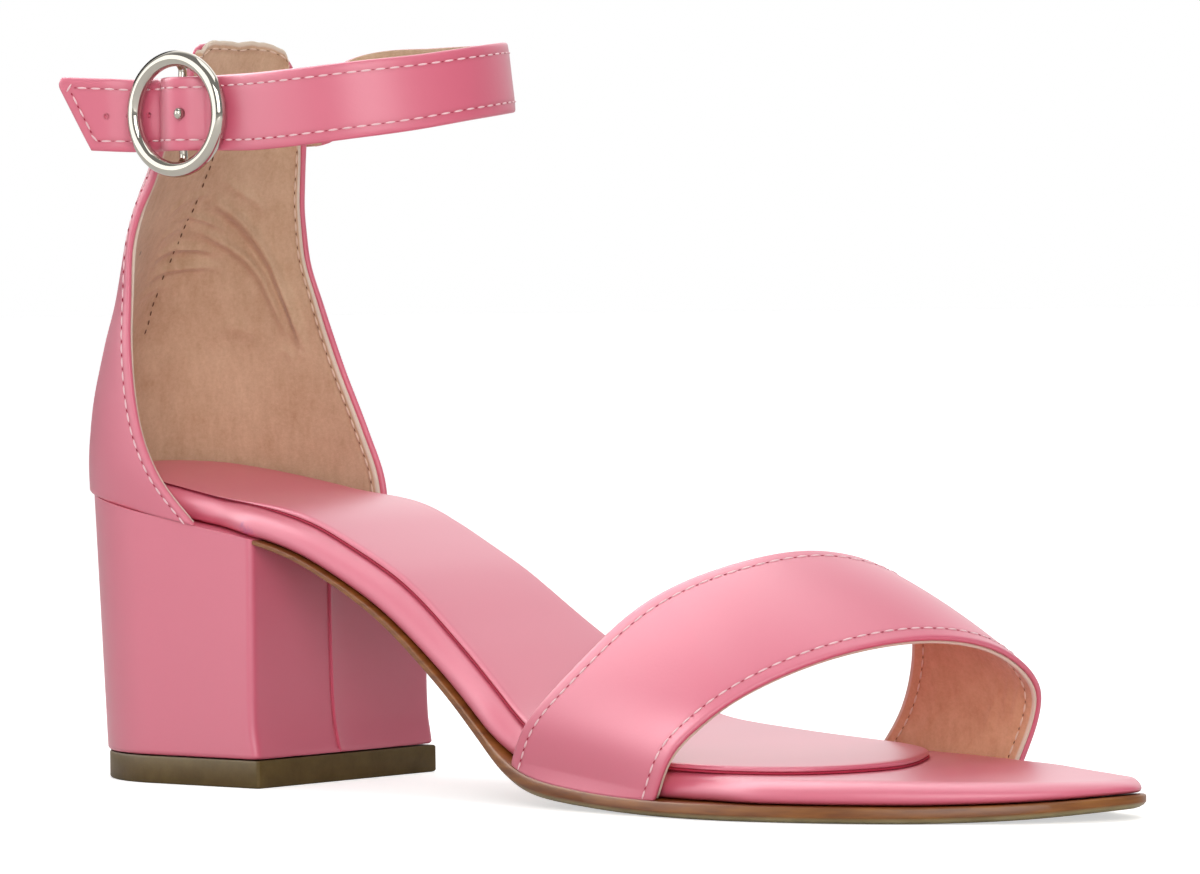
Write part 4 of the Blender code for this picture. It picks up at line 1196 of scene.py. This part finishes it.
strapLook = {
    "width": 0.0132,
    "wall": 0.0016,
    "leather": 0.00098,
    "lining": 0.00058,
    "ply": 0.0007,
    "height": 0.1272,
    "climb": 0.0057,
    "loopHalf": 0.0280,
    "loopFront": 0.0617,
    "lean": 0.14,
    "tailReach": 0.0270,
    "tailSlant": 0.0075,
    "tailFlare": 0.0035,
    "slantReach": 0.012,
    "clip": 0.0011,              # upper corner of the punched end rounded off
    "pillow": 0.00012,
    "holePlaces": (0.0059, 0.0113, 0.0166, 0.0209),    # from the stud towards the tail
    "holeRadius": 0.00055,
    "studHoleRadius": 0.0011,
    "skin": 0.0002,              # of the strap left closed behind a hole
}
ringLook = {
    "radius": 0.0105,
    "stretch": 1.045,            # width over height
    "wire": 0.0015,
    "forward": 0.0114,
    "out": 0.0290,
    "barRadius": 0.0008,
    "barInset": 0.0018,
    "studLead": 0.0029,
    "studProud": 0.0007,
}

# forward share of loopFront, out share of loopHalf, climb share
loopPath = [
    (0.180, 0.960, 1.03), (0.420, 1.020, 1.13), (0.640, 0.930, 1.13), (0.840, 0.690, 1.11),
    (0.970, 0.330, 1.03), (1.000, -0.060, 0.83), (0.930, -0.450, 0.53), (0.790, -0.780, 0.28),
    (0.610, -0.940, 0.08), (0.470, -0.960, 0.00),
]
# share of the strap's run, then its width as a share
strapWidths = [
    (0.0, 1.00), (0.30, 1.00), (0.50, 1.02), (0.62, 1.075),
    (0.74, 1.09), (0.84, 1.05), (0.92, 1.04), (1.0, 1.05),
]


def counterAt(height, turn):
    low, high = 0.0, 1.0
    for _ in range(30):
        level = 0.5 * (low + high)
        if counterPoint(level, turn)[2] < height:
            low = level
        else:
            high = level
    return counterPoint(level, turn)


def onCounter(turn, lift):
    low = counterAt(strapLook["height"] - 0.5 * strapLook["width"], turn)
    middle = counterAt(strapLook["height"], turn)
    one = counterAt(strapLook["height"], max(turn - 0.02, 0.0))
    two = counterAt(strapLook["height"], min(turn + 0.02, 1.0))
    up = unit(middle - low)
    out = np.cross(up, unit(two - one))
    if out[1] * middle[1] < 0.0:
        out = -out
    return middle + out * lift, up


def strapRow(middle, up=(0.0, 0.0, 1.0)):
    return (*middle, *(np.array(up) * strapLook["width"]))


def rimLine():
    return -(ringLook["out"] - ringLook["wire"] - last["fitGap"] - 0.5 * strapLook["wall"])


def crestLine():
    ring = ringLook
    bar = ring["out"] - ring["barInset"] + ring["barRadius"]
    return -(bar + strapLook["ply"] + 2 * last["fitGap"] + 0.5 * strapLook["wall"])


def strapPath():
    look, ring = strapLook, ringLook
    lift = 3 * last["fitGap"] + 0.5 * look["wall"]
    rows = []
    for turn, higher in ((0.78, 0.0), (0.86, 0.0003), (0.94, 0.0007), (1.00, 0.0011)):
        middle, up = onCounter(turn, lift)
        rows.append(strapRow(middle + np.array((0.0, 0.0, higher)), up))
    for forward, out, climb in loopPath:
        # the front of the loop leans back towards the leg
        lean = look["lean"] * max(0.0, (forward - 0.6) / 0.4)
        rows.append(strapRow(
            (forward * look["loopFront"], out * look["loopHalf"], look["height"] + look["climb"] * climb),
            (-lean, -0.3 * lean * np.sign(out), 1.0),
        ))
    weave = [
        (1.19, 0.0), (0.86, 0.0), (0.56, 0.0), (0.26, 0.7), (0.0, 1.0),
        (-0.26, 0.7), (-0.56, 0.0), (-0.86, 0.0), (-1.19, 0.0),
    ]
    for offset, crest in weave:
        y = rimLine() * (1.0 - crest) + crestLine() * crest
        rows.append(strapRow((ring["forward"] + offset * ring["radius"], y, look["height"])))
    tailOut = -(ring["out"] + look["tailFlare"])
    end = ring["forward"] - look["tailReach"] + 0.5 * look["tailSlant"]
    halfWay = 0.5 * (ring["forward"] - 1.19 * ring["radius"] + end)
    rows.append(strapRow((halfWay, 0.45 * rimLine() + 0.55 * tailOut, look["height"] + 0.0003)))
    rows.append(strapRow((end, tailOut, look["height"] + 0.0006)))
    return smoothPath(rows, 14)


def ribbonGrid(path, width, columns, offset, pillow=0.0, slant=0.0, slantReach=0.0, clip=0.0):
    # Face of a strap at an offset from its middle, on the side away from the foot
    middle, ups = path[:, :3], path[:, 3:]
    ahead = unit(np.gradient(middle, axis=0))
    up = unit(ups - ahead * np.sum(ups * ahead, axis=1, keepdims=True))
    side = np.cross(ahead, up)
    run = runAlong(middle)
    near = np.clip(1.0 - (run[-1] - run) / slantReach, 0.0, 1.0) if slantReach else np.zeros(len(run))
    high = np.linspace(-1.0, 1.0, columns)
    bulge = pillow * (1.0 - np.abs(high) ** 5)
    shift = 0.5 * slant * high - clip * np.clip((high - 0.70) / 0.30, 0.0, 1.0) ** 2
    grid = middle[:, None] + up[:, None] * (0.5 * np.asarray(width).reshape(-1, 1) * high[None, :])[..., None]
    grid = grid + side[:, None] * (offset + bulge)[None, :, None]
    grid = grid + ahead[:, None] * (near[:, None] * shift[None, :])[..., None]
    return grid, np.broadcast_to(side[:, None], grid.shape).copy()


def makeStrap():
    look = strapLook
    path = evenly(strapPath(), 330, columns=3)
    half = 0.5 * look["wall"]
    test = np.cross(unit(np.gradient(path[:, :3], axis=0)), unit(path[:, 3:]))
    sign = 1.0 if np.sum(test[:, :2] * (path[:, :2] - path[:, :2].mean(0))) > 0.0 else -1.0
    tail = (look["tailSlant"], look["slantReach"], look["clip"])
    pillow = look["pillow"]
    run = np.linspace(0.0, 1.0, len(path))
    width = look["width"] * curveThrough(strapWidths, 1)(run)
    outer, side = ribbonGrid(path, width - 0.0008, 25, sign * (half - pillow), sign * pillow, *tail)
    normal = gridNormals(outer, side * sign)
    leather = makePanel(
        "strapLeather", outer, normal, look["leather"], finishes["strap"], ["ankle_strap"],
        allRound,
    )
    inner, _ = ribbonGrid(path, width - 0.0007, 17, -sign * half, 0.0, *tail)
    facing = gridNormals(inner, -side[:, :17] * sign)
    lining = makePanel(
        "strapLining", inner, facing, look["lining"], finishes["strapLining"], (), allRound,
    )
    cutHoles([leather, lining], path)
    return outer, normal, inner, facing


def cutterRod(name, middle, way, radius, length):
    bpy.ops.mesh.primitive_cylinder_add(vertices=24, radius=radius, depth=length)
    rod = bpy.context.active_object
    rod.name = name
    turn = Vector((0.0, 0.0, 1.0)).rotation_difference(Vector(way)).to_matrix().to_4x4()
    rod.data.transform(Matrix.Translation(Vector(middle)) @ turn)
    return rod


def studLine():
    base = np.array((ringLook["forward"], -(ringLook["out"] - ringLook["barInset"]), strapLook["height"]))
    tip = np.array((
        ringLook["forward"] + ringLook["studLead"],
        crestLine() - 0.5 * strapLook["wall"] - ringLook["studProud"], strapLook["height"],
    ))
    return base, tip


def cutHoles(pieces, path):
    base, tip = studLine()
    rods = [cutterRod("studHole", 0.5 * (base + tip), unit(tip - base), strapLook["studHoleRadius"], 0.010)]
    half = path[len(path) // 2:]
    run = runAlong(half[:, :2])
    start = run[int(np.argmin(np.abs(half[:, 0] - ringLook["forward"] - 0.4 * ringLook["studLead"])))]
    for place in strapLook["holePlaces"]:
        spot, ahead = atRun(half[:, :2], run, [start + place, start + place + 0.001])
        way = unit(np.array((ahead[1] - spot[1], spot[0] - ahead[0], 0.0)))
        if way[1] > 0.0:
            way = -way
        # punched from outside and closed up again, so a hole ends inside the strap
        depth = 0.5 * strapLook["wall"] + 0.0015 - strapLook["skin"]
        middle = np.array((*spot, strapLook["height"])) + way * (strapLook["skin"] + 0.5 * depth)
        rods.append(cutterRod("hole", middle, way, strapLook["holeRadius"], depth))
    for piece in pieces:
        for rod in rods:
            cut = piece.modifiers.new("hole", "BOOLEAN")
            cut.operation = "DIFFERENCE"
            cut.object = rod
        solid = bpy.data.meshes.new_from_object(piece.evaluated_get(bpy.context.evaluated_depsgraph_get()))
        piece.modifiers.clear()
        old = piece.data
        piece.data = solid
        bpy.data.meshes.remove(old)
        piece.data.set_sharp_from_angle(angle=math.radians(60.0))
    for rod in rods:
        bpy.data.objects.remove(rod, do_unlink=True)


def makeShortStrap():
    # One ply from the counter's outer edge, round the buckle's bar and back inside
    look, ring = strapLook, ringLook
    ply = look["ply"]
    height = look["width"] - 0.0012
    barOut = -(ring["out"] - ring["barInset"])
    wrap = ring["barRadius"] + 0.0002 + 0.5 * ply
    inside = rimLine() + 0.5 * look["wall"] + 2 * last["fitGap"] + ply
    rows = [strapRow(*onCounter(turn, 3 * last["fitGap"] + 1.5 * ply)) for turn in (0.24, 0.16, 0.08, 0.02)]
    rows.append(strapRow((ring["forward"] - 0.56 * ring["radius"], inside - 0.5 * ply, look["height"])))
    for degrees in (205, 235, 270, 305, 340, 15, 50, 85, 120):
        turn = math.radians(degrees)
        x, y = ring["forward"] + wrap * math.cos(turn), barOut + wrap * math.sin(turn)
        rows.append(strapRow((x, y, look["height"])))
    rows.append(strapRow((ring["forward"] - 0.56 * ring["radius"], inside + 0.55 * ply, look["height"])))
    rows += [strapRow(*onCounter(turn, 3 * last["fitGap"] + 0.45 * ply)) for turn in (0.02, 0.08, 0.16, 0.24)]
    path = smoothPath(rows, 8)
    grid, side = ribbonGrid(path, height - 0.0005, 9, 0.5 * ply)
    makePanel("shortStrap", grid, side, ply, finishes["upper"], ["buckle_strap"], (), 60.0)


def roundRow(middle, one, two, count):
    # Points round a middle, given two half axes
    turns = [math.tau * k / count for k in range(count)]
    return [middle + one * math.cos(turn) + two * math.sin(turn) for turn in turns]


def makeBuckle():
    look = ringLook
    along, out, up = np.eye(3) * (1.0, -1.0, 1.0)
    middle = np.array((look["forward"], -look["out"], strapLook["height"]))
    circle = np.array(roundRow(middle, look["radius"] * look["stretch"] * along, look["radius"] * up, 128))
    rings = []
    for point, way in zip(circle, unit(np.roll(circle, -1, axis=0) - np.roll(circle, 1, axis=0))):
        side = unit(np.cross(way, out))
        rise = unit(np.cross(side, way))
        rings.append(roundRow(point, side * look["wire"], rise * look["wire"] * 0.92, 28))
    verts, faces = ringLoft(rings, closed=True)
    makePiece("buckleRing", verts, faces, finishes["nickel"], ["buckle"], 60.0)
    bar = smoothPath([
        (look["forward"], -look["out"] + inset, strapLook["height"] + share * look["radius"])
        for share, inset in (
            (0.97, 0.0004), (0.82, look["barInset"]), (0.6, look["barInset"]), (0.2, look["barInset"]),
            (-0.2, look["barInset"]), (-0.6, look["barInset"]), (-0.82, look["barInset"]), (-0.97, 0.0004),
        )
    ], 6)
    rings = []
    for point, way in zip(bar, unit(np.gradient(bar, axis=0))):
        side = unit(np.cross(way, along))
        rings.append(roundRow(point, look["barRadius"] * along, look["barRadius"] * side, 16))
    verts, faces = ringLoft(rings, (True, True))
    makePiece("buckleBar", verts, faces, finishes["nickel"], (), 60.0)
    base, tip = studLine()
    way = unit(tip - base)
    side = unit(np.cross(way, up))
    top = np.cross(side, way)
    rings = [
        roundRow(base + (tip - base) * share, 0.001 * wide * side, 0.001 * tall * top, 20)
        for share, wide, tall in (
            (0.0, 0.45, 0.45), (0.60, 0.50, 0.50), (0.78, 0.55, 0.62), (0.82, 0.75, 0.95), (0.88, 0.88, 1.12),
            (0.95, 0.78, 0.98), (1.0, 0.48, 0.62), (1.02, 0.15, 0.2),
        )
    ]
    verts, faces = ringLoft(rings, (True, True))
    makePiece("buckleStud", verts, faces, finishes["nickel"], (), 50.0)


strapOuter, strapNormal, strapInner, strapFacing = makeStrap()
makeShortStrap()
makeBuckle()
print("straps and buckle made")


# sewing, laid along its rows by Geometry Nodes

threadLook = {"pitch": 0.0027, "length": 0.00185, "thick": 0.00038, "hole": 0.00030, "lift": 0.00002}
liningThread = {"Pitch": 0.0019, "Length": 0.0011, "Width": 0.00028, "Height": 0.00028, "Odd": 0.0}


def sewingTree():
    tree = bpy.data.node_groups.new("sewnRow", "GeometryNodeTree")
    add = partial(addNode, tree)
    for name, kind in (
        ("Geometry", "Geometry"), ("Pitch", "Float"), ("Length", "Float"), ("Width", "Float"),
        ("Height", "Float"), ("Odd", "Float"), ("Finish", "Material"),
    ):
        tree.interface.new_socket(name, in_out="INPUT", socket_type="NodeSocket" + kind)
    tree.interface.new_socket("Geometry", in_out="OUTPUT", socket_type="NodeSocketGeometry")
    given = add("NodeGroupInput").outputs
    curve = add("GeometryNodeMeshToCurve", {"Mesh": given["Geometry"]})
    halfPitch = add("ShaderNodeMath", {"operation": "MULTIPLY", 0: given["Pitch"], 1: 0.5})
    spaced = add("GeometryNodeResampleCurve", {"mode": "LENGTH", "Curve": curve, "Length": halfPitch})
    turn = add("FunctionNodeAlignRotationToVector", {"axis": "X", "Vector": add("GeometryNodeInputTangent")})
    ball = add("GeometryNodeMeshUVSphere", {"Segments": 8, "Rings": 6, "Radius": 0.5})
    size = add("ShaderNodeCombineXYZ", {"X": given["Length"], "Y": given["Width"], "Z": given["Height"]})
    odd = add("ShaderNodeMath", {"operation": "MODULO", 0: add("GeometryNodeInputIndex"), 1: 2.0})
    pick = add("FunctionNodeCompare", {
        "data_type": "FLOAT", "operation": "EQUAL", "Epsilon": 0.25, 0: odd, 1: given["Odd"],
    })
    laid = add("GeometryNodeInstanceOnPoints", {
        "Points": spaced, "Selection": pick, "Instance": ball, "Rotation": turn, "Scale": size,
    })
    real = add("GeometryNodeRealizeInstances", {0: laid})
    smooth = add("GeometryNodeSetShadeSmooth", {0: real})
    coloured = add("GeometryNodeSetMaterial", {"Geometry": smooth, "Material": given["Finish"]})
    add("NodeGroupOutput", {"Geometry": coloured})
    return tree


sewn = sewingTree()


def sew(name, lines, inputs):
    # lines are rows of points on the face; each becomes a chain that the tree sets its stitches on
    verts, edges = [], []
    for line in lines:
        base = len(verts)
        verts += [tuple(p) for p in line]
        edges += [(base + k, base + k + 1) for k in range(len(line) - 1)]
    mesh = bpy.data.meshes.new(name + "Path")
    mesh.from_pydata(verts, edges, [])
    guide = bpy.data.objects.new(name + "Path", mesh)
    bpy.context.scene.collection.objects.link(guide)
    rows = guide.modifiers.new("sewn", "NODES")
    rows.node_group = sewn
    sockets = {item.name: item.identifier for item in sewn.interface.items_tree if item.in_out == "INPUT"}
    for label, value in inputs.items():
        rows[sockets[label]] = value
    shown = guide.evaluated_get(bpy.context.evaluated_depsgraph_get())
    plain = bpy.data.meshes.new_from_object(shown)
    plain.name = name
    bpy.data.objects.remove(guide, do_unlink=True)
    piece = bpy.data.objects.new(name, plain)
    bpy.context.scene.collection.objects.link(piece)
    return dress(piece, inputs["Finish"])


def seamRow(grid, normal, insets, side, lift):
    # A line of points at real insets from the sides of a face: left, right, low, high
    trimmed = insetGrid(grid, *[0.001 * v for v in insets])
    lifted = insetGrid(grid + normal * 0.001, *[0.001 * v for v in insets])
    lifted = trimmed + unit(lifted - trimmed) * lift
    lines = {"left": lifted[:, 0], "right": lifted[:, -1], "low": lifted[0], "high": lifted[-1]}
    return lines[side]


def sewEdges(name, grid, normal, insets, sides, threadFinish, holeShadeFinish):
    look = threadLook
    lines = [seamRow(grid, normal, insets, side, look["lift"]) for side in sides]
    if sides == allRound:
        left, high, right = lines
        lines = [np.concatenate([left[:-1], high, right[::-1][1:]])]
    sew(name, lines, {
        "Pitch": look["pitch"], "Length": look["length"], "Width": look["thick"], "Height": look["thick"],
        "Odd": 0.0, "Finish": threadFinish,
    })
    # flat dark discs between the stitches: painted shade of the needle holes
    sew(name + "Holes", lines, {
        "Pitch": look["pitch"], "Length": 2.0 * look["hole"], "Width": 1.5 * look["hole"], "Height": 0.00012,
        "Odd": 1.0, "Finish": holeShadeFinish,
    })


counterInset, bandInset, strapInset = seamInset["counter"], seamInset["band"], seamInset["strap"]
liningRow = counterInset - 0.7
for name, grid, normal, insets, sides, slotName, thread, hole in (
    ("counterSewing", counterOuter, counterNormal, (counterInset, counterInset, 0.4, counterInset),
     allRound, "counter", "thread", "needleHoleShade"),
    ("counterLiningSewing", counterInner, counterFacing, (liningRow, liningRow, 0.8, liningRow),
     allRound, "counter", "threadCream", "liningHoleShade"),
    ("bandSewing", bandOuter, bandNormal, (bandInset, bandInset, 0.6, 0.6),
     twoSides, "vamp_band", "thread", "needleHoleShade"),
    ("bandLiningSewing", bandInner, bandFacing, (bandInset, bandInset, 1.0, 1.0),
     twoSides, "vamp_band", "threadCream", "liningHoleShade"),
    ("strapSewing", strapOuter, strapNormal, (strapInset, strapInset, 1.0, strapInset),
     allRound, "ankle_strap", "thread", "needleHoleShade"),
    ("strapLiningSewing", strapInner, strapFacing, (strapInset, strapInset, 1.0, strapInset),
     allRound, "ankle_strap", "threadCream", "liningHoleShade"),
):
    sewEdges(name, grid, normal, insets, sides, finishes[thread], finishes[hole])
liningSeamRow = [liningSeamLine + threadLook["lift"]]
sew("liningSeam", liningSeamRow, {**liningThread, "Finish": finishes["threadBrown"]})
print("sewing laid")


# floor, light and camera

studio = {
    "floor": "#F1F0EF",
    "floorGlow": 0.58,           # keeps the paper white up to the horizon
    "front": 0.30,               # light from the camera's side of the room
    "back": 0.92,                # light from the white backdrop
    "horizon": 0.5,              # its share at the horizon and overhead
    "ceiling": 1.5,
    "dark": 0.03,                # the unlit side of the room, which the nickel shows
    "backWay": (-0.64, 0.77, 0.0),
    "darkWay": (-0.94, 0.27, 0.20),
    "aim": (0.06, 0.0, 0.05),
    # name, place, size, watts and whether it lights the leather or only shines on it
    "lamps": [
        ("key softbox", (0.95, -1.05, 0.60), 0.9, 10.8, True),
        ("top softbox", (0.35, 0.10, 1.50), 1.1, 6.5, True),
        ("low sheen softbox", (-0.75, -1.25, 0.30), 1.5, 12.0, False),
        ("high sheen softbox", (-0.95, -0.10, 1.10), 1.7, 50.0, False),
    ],
}


def makeStudio():
    floorFinish, add = newMaterial("matt white paper")
    seen = add("ShaderNodeLightPath").outputs["Is Camera Ray"]
    glow = add("ShaderNodeMath", {"operation": "MULTIPLY", 0: seen, 1: studio["floorGlow"]})
    closeMaterial(floorFinish, add, {
        "Base Color": studio["floor"], "Roughness": 0.9, "Specular IOR Level": 0.1,
        "Emission Color": "#FFFFFF", "Emission Strength": glow,
    })
    bpy.ops.mesh.primitive_plane_add(size=30.0, location=(0.0, 0.0, 0.0))
    ground = bpy.context.active_object
    ground.name = "floor"
    ground.data.materials.append(floorFinish)
    # A room that is white behind the shoe, greyer behind the camera and dark at its left side
    world = bpy.data.worlds.new("soft white room")
    bpy.context.scene.world = world
    world.use_nodes = True
    world.node_tree.nodes.clear()
    add = partial(addNode, world.node_tree)
    ray = add("ShaderNodeTexCoord").outputs["Generated"]
    ahead = add("ShaderNodeVectorMath", {"operation": "DOT_PRODUCT", 0: ray, 1: studio["backWay"]})
    leftward = add("ShaderNodeVectorMath", {"operation": "DOT_PRODUCT", 0: ray, 1: studio["darkWay"]})
    height = add("ShaderNodeSeparateXYZ", {0: ray}).outputs["Z"]
    bright, ceiling, unlit = (
        add("ShaderNodeMapRange", {
            "interpolation_type": "SMOOTHSTEP", "Value": value, "From Min": start, "From Max": stop,
            "To Min": low, "To Max": high,
        })
        for value, start, stop, low, high in (
            (ahead, 0.15, 0.85, 0.0, studio["back"]),
            (height, 0.02, 0.45, studio["horizon"], studio["ceiling"]),
            (leftward, 0.86, 0.90, 1.0, studio["dark"]),
        )
    )
    strength = add("ShaderNodeMath", {"operation": "MULTIPLY", 0: bright, 1: ceiling})
    strength = add("ShaderNodeMath", {"operation": "ADD", 0: strength, 1: studio["front"]})
    strength = add("ShaderNodeMath", {"operation": "MULTIPLY", 0: strength, 1: unlit})
    room = add("ShaderNodeBackground", {"Color": "#FFFFFF", "Strength": strength})
    white = add("ShaderNodeBackground", {"Color": "#FFFFFF", "Strength": 1.0})
    seen = add("ShaderNodeLightPath").outputs["Is Camera Ray"]
    add("ShaderNodeOutputWorld", {"Surface": add("ShaderNodeMixShader", {0: seen, 1: room, 2: white})})
    aim = Vector(studio["aim"])
    for name, place, size, watts, lights in studio["lamps"]:
        lamp = bpy.data.lights.new(name, "AREA")
        lamp.energy = watts
        lamp.size = size
        holder = bpy.data.objects.new(name, lamp)
        bpy.context.scene.collection.objects.link(holder)
        holder.visible_diffuse = lights
        if name == "high sheen softbox":
            # kept off the nickel, which shows a dark room there
            leathers = bpy.data.collections.new("shine on leather")
            for piece in bpy.data.objects:
                if piece.type == "MESH" and piece.data.materials:
                    if piece.data.materials[0] != finishes["nickel"]:
                        leathers.objects.link(piece)
            holder.light_linking.receiver_collection = leathers
        turn = (aim - Vector(place)).to_track_quat("-Z", "Y").to_matrix().to_4x4()
        holder.matrix_world = Matrix.Translation(Vector(place)) @ turn
    bpy.context.scene.view_settings.view_transform = "Standard"


cameraLook = {
    "place": (0.851883, -0.903165, 0.094242),
    "yaw": 0.700432,
    "down": 0.023952,
    "roll": -0.012636,
    "focalPixels": 6409.434,
    "imageWidth": 1200,
}


def makeCamera():
    look = cameraLook
    yaw, down, roll = look["yaw"], look["down"], look["roll"]
    ahead = Vector((-math.sin(yaw) * math.cos(down), math.cos(yaw) * math.cos(down), -math.sin(down)))
    right = Vector((math.cos(yaw), math.sin(yaw), 0.0))
    up = right.cross(ahead)
    rolledRight = math.cos(roll) * right + math.sin(roll) * up
    rolledUp = -math.sin(roll) * right + math.cos(roll) * up
    lens = bpy.data.cameras.new("camera")
    lens.sensor_width = 36.0
    lens.lens = look["focalPixels"] / look["imageWidth"] * 36.0
    lens.clip_start = 0.05
    lens.clip_end = 60.0
    camera = bpy.data.objects.new("camera", lens)
    bpy.context.scene.collection.objects.link(camera)
    turn = Matrix((rolledRight, rolledUp, -ahead)).transposed().to_4x4()
    camera.matrix_world = Matrix.Translation(Vector(look["place"])) @ turn
    bpy.context.scene.camera = camera


makeStudio()
makeCamera()
print("studio ready")
